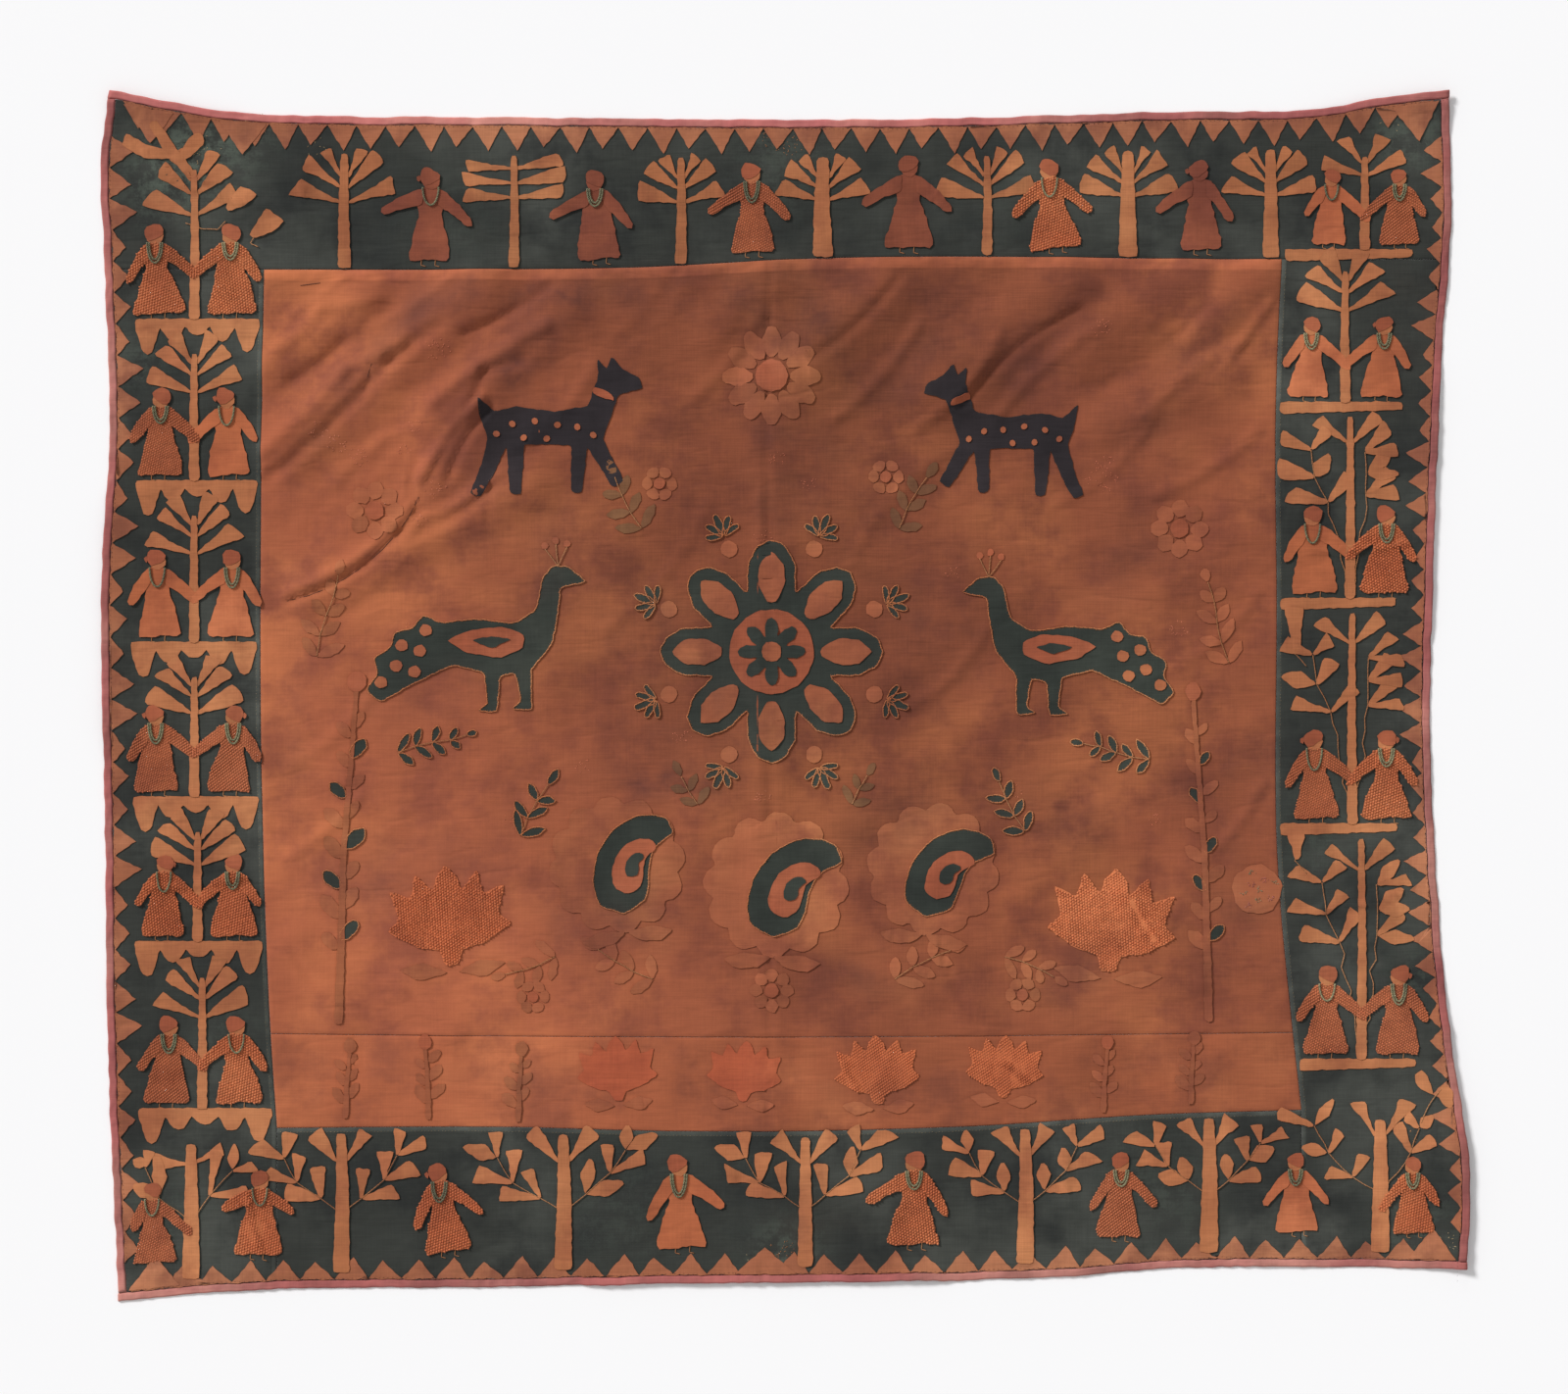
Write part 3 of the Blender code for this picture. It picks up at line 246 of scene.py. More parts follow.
def clothFinish(name):
    # aged hand-woven cotton: uneven dye, single threads that show, soil from the mesh and a woven surface
    material = bpy.data.materials.get(name + "Cotton")
    if material:
        return material
    look = clothDetail
    *colours, threadShow, unevenDye = finishes[name]
    cloth, pale, deep, soil = (fromScreen(colour) for colour in colours)
    material = bpy.data.materials.new(name + "Cotton")
    material.use_nodes = True
    tree = material.node_tree
    shader = tree.nodes["Principled BSDF"]
    place = addNode(tree, "ShaderNodeTexCoord").outputs["Object"]

    def noise(scale, detail, roughness, **mapping):
        source = place
        if mapping:
            source = addNode(tree, "ShaderNodeMapping", [("Vector", place)], **mapping).outputs[0]
        return addNode(tree, "ShaderNodeTexNoise", [("Vector", source)], Scale=scale, Detail=detail,
                       Roughness=roughness).outputs[0]

    def spread(source, low, high):
        made = addNode(tree, "ShaderNodeMapRange", [("Value", source)], interpolation_type="SMOOTHSTEP")
        plug(tree, (made.inputs["From Min"], made.inputs["From Max"]), (low, high))
        return made.outputs[0]

    def patchy(kind):
        scale, detail, roughness, low, high = look[kind]
        return spread(noise(scale, detail, roughness), low, high)

    def painted(kind):
        return addNode(tree, "ShaderNodeAttribute", attribute_name=kind).outputs["Fac"]

    def bump(height, strength, depth, below=()):
        links = [("Height", height), *(("Normal", normal) for normal in below)]
        return addNode(tree, "ShaderNodeBump", links, Strength=strength, Distance=depth).outputs[0]

    weft = noise(*look["thread"], Scale=(look["threadLength"], look["threads"], 1.0))
    warp = noise(*look["thread"], Scale=(look["threads"], look["threadLength"], 1.0))
    slub = reckon(tree, "MULTIPLY_ADD", warp, look["warp"], weft)
    evenSlub = 0.5 + 0.5 * look["warp"]
    colour = blendColours(tree, patchy("fade"), cloth, pale)
    colour = blendColours(tree, reckon(tree, "MULTIPLY", patchy("blotch"), unevenDye), colour, deep)
    soiled = reckon(tree, "MULTIPLY", painted("soil"), patchy("soil"), clamp=True)
    colour = blendColours(tree, soiled, colour, soil)
    worn = reckon(tree, "MULTIPLY", painted("worn"), patchy("wear"), clamp=True)
    colour = blendColours(tree, worn, colour, fromScreen(look["wornColour"]))
    threadShade = reckon(tree, "MULTIPLY_ADD", reckon(tree, "SUBTRACT", slub, evenSlub), threadShow, 1.0)
    # tone from the mesh lightens or darkens the cloth: it carries painted shade at patch outlines and under
    # raised yarn, painted light and shade on gathers and across the field, and uneven dye
    shade = reckon(tree, "ADD", threadShade, painted("tone"))
    channels = [(channel, shade) for channel in ("Red", "Green", "Blue")]
    grey = addNode(tree, "ShaderNodeCombineColor", channels).outputs[0]
    colour = blendColours(tree, 1.0, colour, grey, "MULTIPLY")
    tree.links.new(colour, shader.inputs["Base Color"])
    waves = [
        addNode(tree, "ShaderNodeTexWave", [("Vector", place)], wave_type="BANDS", bands_direction=axis,
                **look["weave"]).outputs["Fac"]
        for axis in ("X", "Y")
    ]
    weave = bump(reckon(tree, "MULTIPLY", *waves), look["weaveBump"], look["weaveDepth"])
    surface = bump(slub, look["slubBump"], look["slubDepth"], [weave])
    # fine creases where the cloth has been crumpled
    for heading, scale, depth in look["crumples"]:
        crumple = noise(*look["crumple"], Rotation=(0, 0, math.radians(-heading)), Scale=scale)
        crumple = reckon(tree, "ABSOLUTE", reckon(tree, "SUBTRACT", crumple, 0.5))
        surface = bump(spread(crumple, 0.0, look["crumpleEdge"]), look["crumpleBump"], depth, [surface])
    tree.links.new(surface, shader.inputs["Normal"])
    for key, value in look["shader"].items():
        shader.inputs[key].default_value = value
    return material


def lineThrough(rows):
    along, across = np.array(rows).T
    slope = np.gradient(across, along)

    def line(place):
        place = np.clip(place, along[0], along[-1])
        i = np.clip(np.searchsorted(along, place) - 1, 0, len(along) - 2)
        span = along[i + 1] - along[i]
        t = (place - along[i]) / span
        start = across[i] * (1 + 2 * t) * (1 - t) ** 2 + slope[i] * span * t * (1 - t) ** 2
        return start + across[i + 1] * t * t * (3 - 2 * t) - slope[i + 1] * span * t * t * (1 - t)

    return line


def shifted(line, distance):
    return lambda place: line(place) + distance


# Waves that are summed for an uneven surface, how far their lengths stray, and what evens their sum out
swellLook = {"waves": 9, "lengths": (0.65, 1.6), "share": 4.0}


def swell(x, y, wavelength, seed, heading=0.0, stretch=1.0):
    # soft unevenness between about -1 and 1, longer by stretch along the heading
    draw = random.Random(seed)
    turn = math.radians(heading)
    u = (x * math.cos(turn) + y * math.sin(turn)) / stretch
    v = y * math.cos(turn) - x * math.sin(turn)
    total = 0.0
    for _ in range(swellLook["waves"]):
        angle = draw.uniform(0, math.tau)
        pace = math.tau / (wavelength * draw.uniform(*swellLook["lengths"]))
        total = total + np.sin(pace * (u * math.cos(angle) + v * math.sin(angle)) + draw.uniform(0, math.tau))
    return total / swellLook["share"]


def swells(x, y, rows):
    # several swells together. Columns: amount, then what swell takes.
    return sum(amount * swell(x, y, *look) for amount, *look in rows)


def closeTo(x, y, px, py, reach):
    return np.exp(-((x - px) ** 2 + (y - py) ** 2) / reach ** 2)


def alongRidge(x, y, x0, y0, x1, y1, bow, halfWidth):
    # 1 on the ridge's line and 0 at its half width, fading out past both ends
    length = math.hypot(x1 - x0, y1 - y0)
    along = ((x - x0) * (x1 - x0) + (y - y0) * (y1 - y0)) / length
    across = ((x - x0) * (y1 - y0) - (y - y0) * (x1 - x0)) / length
    share = np.clip(along / length, 0, 1)
    across = across - bow * 4 * share * (1 - share)
    beyond = np.maximum(np.maximum(-along, along - length), 0)
    distance = np.clip(np.hypot(across, beyond * halfWidth / max(halfWidth, 0.012)) / halfWidth, 0, 1)
    return np.cos(distance * math.pi / 2) ** 2


# Where the cloth is crinkled. Columns: x, y, reach, heading of the ridges in degrees, amount.
crinkles = (
    (-0.34, 0.26, 0.13, 50, 1.0), (-0.215, 0.3, 0.11, 56, 0.8), (0.24, 0.3, 0.15, 48, 0.7),
    (-0.01, 0.3, 0.11, 78, 0.5), (0.36, 0.16, 0.11, 55, 0.5), (-0.33, -0.11, 0.12, 66, 0.45),
    (-0.16, -0.3, 0.13, 20, 0.4), (0.15, -0.08, 0.14, 62, 0.4), (0.34, -0.28, 0.11, 130, 0.45),
    (-0.08, 0.13, 0.12, 84, 0.4), (-0.38, 0.11, 0.09, 36, 0.9),
)
sheetLook = {
    "top": 0.0016, "thickness": 0.0007, "pitch": 0.0051, "fieldPitch": 0.0039, "least": -0.0003,
    "crinkle": 0.00072, "crinkleWidth": 0.26, "crinkleLength": 0.05, "crinkleStretch": 2.6, "crinkleDip": 0.3,
    "creaseWidth": 0.85, "creaseHeight": 1.3, "unevenness": 0.00046, "unevenLift": 0.4,
    "waves": ((1.0, 0.075, 11, 48, 2.2), (0.42, 0.026, 12, 40, 1.6), (0.12, 0.0105, 13, 20, 1.4)),
    "toneWaves": ((0.07, 0.09, 31, 45, 1.8), (0.04, 0.03, 32, 10, 2.0)), "soil": 0.86, "borderSoil": 0.35,
}


def clothTop(x, y):
    # height of the ground cloths' upper side
    look = sheetLook
    x, y = np.asarray(x, float), np.asarray(y, float)
    lift = np.zeros_like(x)
    for x0, y0, x1, y1, halfWidth, height in folds:
        lift = lift + (height * alongRidge(x, y, x0, y0, x1, y1, 0.0, halfWidth)) ** 3
    lift = np.cbrt(lift)
    for x0, y0, x1, y1, bow, halfWidth, height in creases:
        along = alongRidge(x, y, x0, y0, x1, y1, bow, halfWidth * look["creaseWidth"])
        lift = lift + height * look["creaseHeight"] * along
    for i, (px, py, reach, heading, amount) in enumerate(crinkles):
        near = amount * closeTo(x, y, px, py, reach)
        ridge = swell(x, y, look["crinkleLength"], 400 + i, heading,
                      look["crinkleStretch"]) / look["crinkleWidth"]
        lift = lift + look["crinkle"] * near * (np.exp(-ridge ** 2) - look["crinkleDip"])
    lift = lift + look["unevenness"] * (swells(x, y, look["waves"]) + look["unevenLift"])
    return look["top"] + np.maximum(lift, look["least"])


def soilAt(x, y):
    total = np.zeros_like(x)
    for px, py, halfLength, halfWidth, heading, strength in stains:
        turn = math.radians(heading)
        u = ((x - px) * math.cos(turn) + (y - py) * math.sin(turn)) / halfLength
        v = ((y - py) * math.cos(turn) - (x - px) * math.sin(turn)) / halfWidth
        total = total + strength * np.exp(-(u * u + v * v))
    return np.clip(total * (1 + 0.5 * swell(x, y, 0.06, 21)), 0, 1)


# Where the field is lighter or darker: partly uneven dye, partly painted light that is brighter towards the
# left. Columns: x, y, reach, how much lighter or darker.
dyeAndLightPlaces = (
    (-0.4, -0.18, 0.2, 0.34), (-0.43, 0.08, 0.13, 0.22), (-0.37, 0.28, 0.11, 0.22),
    (-0.24, -0.34, 0.16, 0.26), (-0.05, 0.33, 0.17, -0.2), (0.15, 0.33, 0.15, -0.22),
    (0.33, 0.3, 0.15, -0.06), (0.06, 0.06, 0.17, -0.22), (0.3, 0.0, 0.15, -0.1), (0.08, -0.17, 0.13, -0.12),
    (0.3, -0.25, 0.16, -0.02), (-0.14, 0.08, 0.11, -0.16),
)


def toneAt(x, y, finish):
    total = swells(x, y, sheetLook["toneWaves"])
    if finish in ("field", "strip", "tonal"):
        # uneven dye together with painted light, brighter towards the left
        for px, py, reach, lightness in dyeAndLightPlaces:
            total = total + lightness * closeTo(x, y, px, py, reach)
    return total


def wornAt(x, y):
    total = np.zeros_like(x)
    for px, py, reach, strength in wornPlaces:
        total = total + strength * closeTo(x, y, px, py, reach)
    return np.clip(total, 0, 1)


def addAttribute(mesh, name, values):
    layer = mesh.attributes.get(name) or mesh.attributes.new(name, "FLOAT", "POINT")
    layer.data.foreach_set("value", np.asarray(values, np.float32))


def meshFrom(bm, name):
    mesh = bpy.data.meshes.new(name)
    bm.to_mesh(mesh)
    bm.free()
    return mesh


def readPoints(mesh):
    points = np.empty(len(mesh.vertices) * 3, np.float32)
    mesh.vertices.foreach_get("co", points)
    return points.reshape(-1, 3).astype(float)


def writePoints(mesh, points):
    mesh.vertices.foreach_set("co", points.astype(np.float32).ravel())


def addObject(name, data):
    made = bpy.data.objects.new(name, data)
    bpy.context.scene.collection.objects.link(made)
    return made


def thicken(piece, thickness):
    wall = piece.modifiers.new("thickness", "SOLIDIFY")
    wall.thickness = thickness
    wall.offset = -1


laid = []    # every finished piece


def placeOnCloth(name, mesh, materials, nodes):
    # a finished piece: shaded, riding on the cloth, and standing for its CAD nodes
    for material in materials:
        mesh.materials.append(clothFinish(material))
    mesh.shade_smooth()
    piece = addObject(name, mesh)
    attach(piece, "root")
    if nodes:
        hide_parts(*nodes)
    laid.append(piece)
    return piece


def corner(upright, level):
    x, y = 0.0, float(level(0.0))
    for _ in range(12):
        x = float(upright(y))
        y = float(level(x))
    return x, y


def pieceName(node):
    first, *rest = node.split("_")
    return first + "".join(word.capitalize() for word in rest) + "Cloth"


def fourCorners(low, high, left, right):
    return (corner(left, low), corner(right, low)), (corner(left, high), corner(right, high))


cutWaves = ((0.0005, 0.05), (0.0003, 0.016))    # height and length of the waves in a cut edge


def uneven(line, seed):
    # the cut edge is never quite straight
    def edge(place):
        across = line(place)
        for i, (height, wavelength) in enumerate(cutWaves):
            across = across + height * swell(place, place * 0, wavelength, seed + i)
        return across
    return edge


lines = {name: lineThrough(rows) for name, rows in clothLines.items()}
for seed, side in enumerate(("top", "bottom", "left", "right"), 40):
    lines[side] = uneven(lines[side], seed)


def beside(name, distance):
    return shifted(lines[name], distance)


def shares(length, pitch, near):
    # places along a side, closer together beside both seams
    count = max(2, round((length - 2 * near[-1]) / pitch))
    middle = np.linspace(near[-1], length - near[-1], count + 1)
    return np.concatenate([[0.0], near[:-1], middle, length - np.array(near[:-1])[::-1], [length]]) / length


def stretchedGrid(bm, low, high, left, right, acrossShares, upShares):
    # lays a level grid out between four lines, and gives each point's shares
    feet, heads = fourCorners(low, high, left, right)
    nx, ny = len(acrossShares) - 1, len(upShares) - 1
    bmesh.ops.create_grid(bm, x_segments=nx, y_segments=ny, size=0.5)
    flat = np.array([vert.co[:2] for vert in bm.verts]) + 0.5
    u = np.asarray(acrossShares)[np.rint(flat[:, 0] * nx).astype(int)]
    v = np.asarray(upShares)[np.rint(flat[:, 1] * ny).astype(int)]
    lowX, highX = feet[0][0] + u * (feet[1][0] - feet[0][0]), heads[0][0] + u * (heads[1][0] - heads[0][0])
    leftY, rightY = feet[0][1] + v * (heads[0][1] - feet[0][1]), feet[1][1] + v * (heads[1][1] - feet[1][1])
    x = (1 - v) * lowX + v * highX + (1 - u) * left(leftY) + u * right(rightY)
    y = (1 - v) * low(lowX) + v * high(highX) + (1 - u) * leftY + u * rightY
    for weight, (px, py) in zip(((1 - u) * (1 - v), u * (1 - v), (1 - u) * v, u * v), (*feet, *heads)):
        x, y = x - weight * px, y - weight * py
    for vert, px, py in zip(bm.verts, x, y):
        vert.co = (px, py, 0.0)
    return u, v


seamLook = {
    "gap": 0.0003, "dip": 0.0005, "fall": 0.0016, "near": (0.001, 0.0022, 0.0034, 0.0046, 0.0087, 0.0103),
    "bandRise": 0.00025, "gathers": 0.011, "gatherRise": 0.5, "gatherShading": 0.35, "fieldTop": (0.0095, 0.36),
    "besideField": (0.0038, 0.75),
}


def addSheet(node, finish, low, high, left, right, bands):
    # one ground cloth. bands names the sides with a pressed seam allowance beneath, and how pale it shows.
    look = seamLook
    bm = bmesh.new()
    feet, heads = fourCorners(low, high, left, right)
    width, height = feet[1][0] - feet[0][0], heads[0][1] - feet[0][1]
    pitch = sheetLook["fieldPitch"] if finish == "field" else sheetLook["pitch"]
    acrossShares, upShares = shares(width, pitch, look["near"]), shares(height, pitch, look["near"])
    stretchedGrid(bm, low, high, left, right, acrossShares, upShares)
    mesh = meshFrom(bm, pieceName(node))
    points = readPoints(mesh)
    x, y = points[:, 0], points[:, 1]
    room = {"low": y - low(x), "high": high(x) - y, "left": x - left(y), "right": right(y) - x}
    closest = np.minimum.reduce(list(room.values()))
    points[:, 2] = clothTop(x, y) - look["dip"] * np.exp(-(np.maximum(closest, 0) / look["fall"]) ** 2)
    tone = toneAt(x, y, finish)
    for side, (bandWidth, paleness) in bands.items():
        inBand = np.clip((bandWidth - room[side]) / look["fall"] + 0.5, 0, 1)
        along, across = (x, y) if side == "high" else (y, x)
        gathers = swell(along, across, look["gathers"], side)
        points[:, 2] += look["bandRise"] * inBand * (1 + look["gatherRise"] * gathers)
        # its gathers are paler where they rise and darker where they sink: painted light and shade
        tone = tone + paleness * inBand * (1 + look["gatherShading"] * gathers)
    writePoints(mesh, points)
    dark = finish == "border"
    addAttribute(mesh, "tone", tone)
    addAttribute(mesh, "soil", soilAt(x, y) * sheetLook["borderSoil" if dark else "soil"])
    addAttribute(mesh, "worn", wornAt(x, y) if dark else x * 0)
    piece = placeOnCloth(pieceName(node), mesh, [finish], [node])
    thicken(piece, sheetLook["thickness"])
    return piece, width, height


bindingLook = {
    "width": 0.0075, "height": 0.0022, "pitch": 0.0034, "steps": 8, "flatness": 5.0, "edge": 0.12,
    "most": 1.15, "puckers": ((0.13, 0.008, 61, 45, 1.3), (0.08, 0.03, 62)), "fade": (0.34, 0.75, 2.2),
    "toneWaves": ((0.12, 0.05, 63), (0.07, 0.008, 65, 45, 1.3)), "soil": (0.22, 0.35, 0.7),
    "tones": {"binding_top": 0.02, "binding_bottom": 0.02, "binding_left": 0.0, "binding_right": -0.16},
}


def addBinding(node, low, high, left, right, upright):
    # a folded strip over the cut edge, puckered by its stitches
    look = bindingLook
    bm = bmesh.new()
    rise = bm.verts.layers.float.new("rise")
    feet, heads = fourCorners(low, high, left, right)
    length = heads[0][1] - feet[0][1] if upright else feet[1][0] - feet[0][0]
    alongShares = np.linspace(0, 1, round(length / look["pitch"]) + 1)
    acrossShares = np.linspace(0, 1, look["steps"] + 1)
    both = (acrossShares, alongShares) if upright else (alongShares, acrossShares)
    u, v = stretchedGrid(bm, low, high, left, right, *both)
    across = u if upright else v
    arch = (1 - np.abs(2 * across - 1) ** look["flatness"]) ** (1 / look["flatness"])
    grown = bmesh.ops.extrude_face_region(bm, geom=bm.faces[:])
    raised = [part for part in grown["geom"] if isinstance(part, bmesh.types.BMVert)]
    archAt = {(round(vert.co.x, 7), round(vert.co.y, 7)): float(a) for vert, a in zip(bm.verts, arch)}
    for vert in raised:
        vert[rise] = look["edge"] + (1 - look["edge"]) * archAt[(round(vert.co.x, 7), round(vert.co.y, 7))]
        vert.co.z = 0.001
    bmesh.ops.recalc_face_normals(bm, faces=bm.faces[:])
    mesh = meshFrom(bm, pieceName(node))
    points = readPoints(mesh)
    x, y = points[:, 0], points[:, 1]
    share = np.empty(len(x), np.float32)
    mesh.attributes["rise"].data.foreach_get("value", share)
    puckers = swells(x, y, look["puckers"]) * share
    lift = np.maximum(clothTop(x, y) - sheetLook["top"], 0)
    points[:, 2] = lift + look["height"] * np.clip(share * (1 + puckers), 0, look["most"])
    writePoints(mesh, points)
    # the upper binding is paler towards the left
    paleness, start, slope = look["fade"]
    faded = paleness * np.clip(start - slope * x, 0, 1) if node == "binding_top" else x * 0
    clean, patchy, most = look["soil"]
    addAttribute(mesh, "tone", look["tones"][node] + swells(x, y, look["toneWaves"]) + faded)
    addAttribute(mesh, "soil", np.clip(clean + patchy * swell(x, y, 0.12, 64), 0, most))
    addAttribute(mesh, "worn", x * 0)
    placeOnCloth(pieceName(node), mesh, ["binding"], [node])


# step: between points, waves: lengths of the cut's waves, shares: how much of the wobble each takes
cutLook = {
    "step": 0.004, "waves": (0.026, 0.013, 0.0075), "shares": (0.5, 1.0), "wobble": 0.0003, "soft": 0.2,
}


def handCut(outline, seed, wobble, soft):
    # the outline as scissors and a turned edge leave it
    draw = random.Random(seed)
    points = np.array(outline, float)
    ends = np.roll(points, -1, 0)
    fine = []
    for start, end in zip(points, ends):
        count = max(1, round(float(np.hypot(*(end - start))) / cutLook["step"]))
        fine += [start + (end - start) * i / count for i in range(count)]
    fine = np.array(fine)
    fine = soft * np.roll(fine, 1, 0) + (1 - 2 * soft) * fine + soft * np.roll(fine, -1, 0)
    tangent = np.roll(fine, -1, 0) - np.roll(fine, 1, 0)
    reach = np.maximum(np.hypot(*tangent.T), 1e-9)
    along = np.concatenate([[0], np.cumsum(np.hypot(*(np.roll(fine, -1, 0) - fine).T))])
    total, along = along[-1], along[:-1]
    swing = np.zeros(len(fine))
    for wavelength in cutLook["waves"]:
        turns = max(1, round(total / wavelength))
        wave = np.sin(math.tau * turns * along / total + draw.uniform(0, math.tau))
        swing += wave * draw.uniform(*cutLook["shares"])
    normal = np.stack([tangent[:, 1], -tangent[:, 0]], 1) / reach[:, None]
    return fine + normal * (wobble * swing)[:, None]


toLay = []    # every piece that is patched together flat and then laid on the ground cloths


def startPiece(name, nodes, slot):
    bm = bmesh.new()
    layers = {key: bm.verts.layers.float.new(key) for key in ("rise", "level", "tone", "edge")}
    piece = {"name": name, "nodes": nodes, "slot": slot, "bm": bm, "layers": layers, "finishes": [],
             "edges": []}
    toLay.append(piece)
    return piece


def startNode(node, slot):
    return startPiece(pieceName(node), [node], slot)


# line and rim: widths of the dark outline round a patch and of the ring where it fades. The outline's
# darkness is painted shadow of the turned edge together with dark thread.
patchLook = {
    "thickness": 0.0004, "rise": 0.0008, "edgeRise": 0.0003, "line": 0.00095, "rim": 0.0003,
    "bendEvery": 0.0105, "edgeShadowAndThread": 0.8, "rimShadowAndThread": 0.8, "puff": 0.00014, "unevenTone": 0.06, "soil": 0.7,
    "toneWave": (0.08, 0.03, 73), "wrinkles": ((1.0, 0.016, 71, 60, 1.8), (0.6, 0.0085, 72, 120, 1.6)),
}


def addPatch(piece, outline, finish, level=0.0, tone=0.0, sewn="own", wobble=cutLook["wobble"],
             soft=cutLook["soft"]):
    look, bm, layers = patchLook, piece["bm"], piece["layers"]
    seed = f"{piece['name']} {len(piece['edges'])}"
    points = handCut(outline, seed, wobble, soft)
    tone += random.Random(seed + " tone").uniform(-look["unevenTone"], look["unevenTone"])
    if finish not in piece["finishes"]:
        piece["finishes"].append(finish)
    face = bm.faces.new([bm.verts.new((px, py, 0.0)) for px, py in points])
    face.normal_update()
    if face.normal.z < 0:
        face.normal_flip()
    for edge in face.edges:
        edge.smooth = False
    outer = list(face.verts)
    # the outline is marked for darkening: painted shadow of the turned edge, together with dark thread
    line = bmesh.ops.inset_region(bm, faces=[face], thickness=look["line"], use_even_offset=True)
    for vert in outer:
        vert[layers["edge"]] = 1.0
    for vert in face.verts:
        vert[layers["edge"]] = look["rimShadowAndThread"]
    inset = bmesh.ops.inset_region(bm, faces=[face], thickness=look["rim"], use_even_offset=True)
    for vert in face.verts:
        vert[layers["rise"]] = 1.0
        vert[layers["edge"]] = 0.0
    parts = bmesh.ops.triangulate(bm, faces=[face])["faces"] + line["faces"] + inset["faces"]
    geom = list({vert for part in parts for vert in part.verts})
    geom += list({edge for part in parts for edge in part.edges}) + parts
    # cuts across the patch, so that it can follow the cloth
    pitch = look["bendEvery"]
    for axis in (0, 1):
        low, high = points[:, axis].min(), points[:, axis].max()
        normal = (1, 0, 0) if axis == 0 else (0, 1, 0)
        for i in range(math.ceil(low / pitch), math.floor(high / pitch) + 1):
            cut = (i * pitch, 0, 0) if axis == 0 else (0, i * pitch, 0)
            geom = bmesh.ops.bisect_plane(bm, geom=geom, dist=1e-6, plane_co=cut, plane_no=normal)["geom"]
    index = piece["finishes"].index(finish)
    for part in geom:
        if isinstance(part, bmesh.types.BMFace):
            part.material_index = index
        elif isinstance(part, bmesh.types.BMVert):
            part[layers["level"]] = level
            part[layers["tone"]] = tone
    piece["edges"].append({"points": points, "level": level, "sewn": sewn})
    return points


# Small stitches and lumps of yarn by kind and finish: x, y, z, heading, length, width, height, tone
stitchRows = {}
cordRuns = []     # cords laid along an outline: points, level, whether it is closed


def addStitches(kind, finish, rows):
    stitchRows.setdefault((kind, finish), []).append(np.array(rows, float))


def paced(points, step, closed=True):
    # evenly spaced places along a line, with the direction of travel at each
    points = np.array(points, float)
    if closed:
        points = np.concatenate([points, points[:1]])
    strides = np.hypot(*np.diff(points, axis=0).T)
    along = np.concatenate([[0], np.cumsum(strides)])
    places = np.linspace(0, along[-1], max(3, round(along[-1] / step) + 1))
    if closed:
        places = places[:-1]
    x, y = np.interp(places, along, points[:, 0]), np.interp(places, along, points[:, 1])
    reach = 0.0004
    ahead = np.clip(places + reach, 0, along[-1])
    behind = np.clip(places - reach, 0, along[-1])
    dx = np.interp(ahead, along, points[:, 0]) - np.interp(behind, along, points[:, 0])
    dy = np.interp(ahead, along, points[:, 1]) - np.interp(behind, along, points[:, 1])
    return x, y, np.arctan2(dy, dx)


# Sewing round a patch. Columns: thread, distance apart, length, width, how far in the stitch lies, tone.
edgeSewing = {
    "own": ("darkThread", 0.0051, 0.002, 0.00045, 0.0005, 0.1),
    "dark": ("darkThread", 0.0056, 0.0021, 0.00045, 0.0003, 0.0),
    "whip": ("tanThread", 0.0024, 0.0024, 0.00055, 0.0003, -0.1),
    "cord": ("rustCord", 0.003, 0.0019, 0.00042, 0.0009, 0.05),
}
# turn, tone: how much stitches differ. above, onCord, cord: height over the edge, over a cord, of a cord.
stitchLook = {
    "height": 0.0005, "lengths": (0.7, 1.2), "turn": 0.25, "tone": 0.12, "above": 0.0001, "onCord": 0.00035,
    "cord": 0.0004,
}


def edgeStitches(edge):
    look = stitchLook
    thread, apart, length, width, inwards, tone = edgeSewing[edge["sewn"]]
    points = edge["points"]
    x, y, heading = paced(points, apart)
    px, py = points.T
    turning = np.sign((px * np.roll(py, -1) - py * np.roll(px, -1)).sum())
    draw = np.random.default_rng(len(x) * 7 + int(abs(px[0]) * 1e5))
    across = heading + turning * math.pi / 2
    x, y = x + inwards * np.cos(across), y + inwards * np.sin(across)
    n = len(x)
    z = clothTop(x, y) + edge["level"] + patchLook["edgeRise"] + look["above"]
    if edge["sewn"] == "cord":
        z = z + look["onCord"]
        cordRuns.append((points, edge["level"] + look["cord"], True))
    rows = (x, y, z, across + draw.normal(0, look["turn"], n), length * draw.uniform(*look["lengths"], n),
            np.full(n, width), np.full(n, look["height"]), tone + draw.normal(0, look["tone"], n))
    addStitches("stitch", thread, rows)


def inside(x, y, outline):
    px, py = outline.T
    qx, qy = np.roll(px, -1), np.roll(py, -1)
    rise = np.where(qy == py, 1e-12, qy - py)
    crossed = (py > y[:, None]) != (qy > y[:, None])
    at = (qx - px) * (y[:, None] - py) / rise + px
    return (crossed & (x[:, None] < at)).sum(1) % 2 == 1


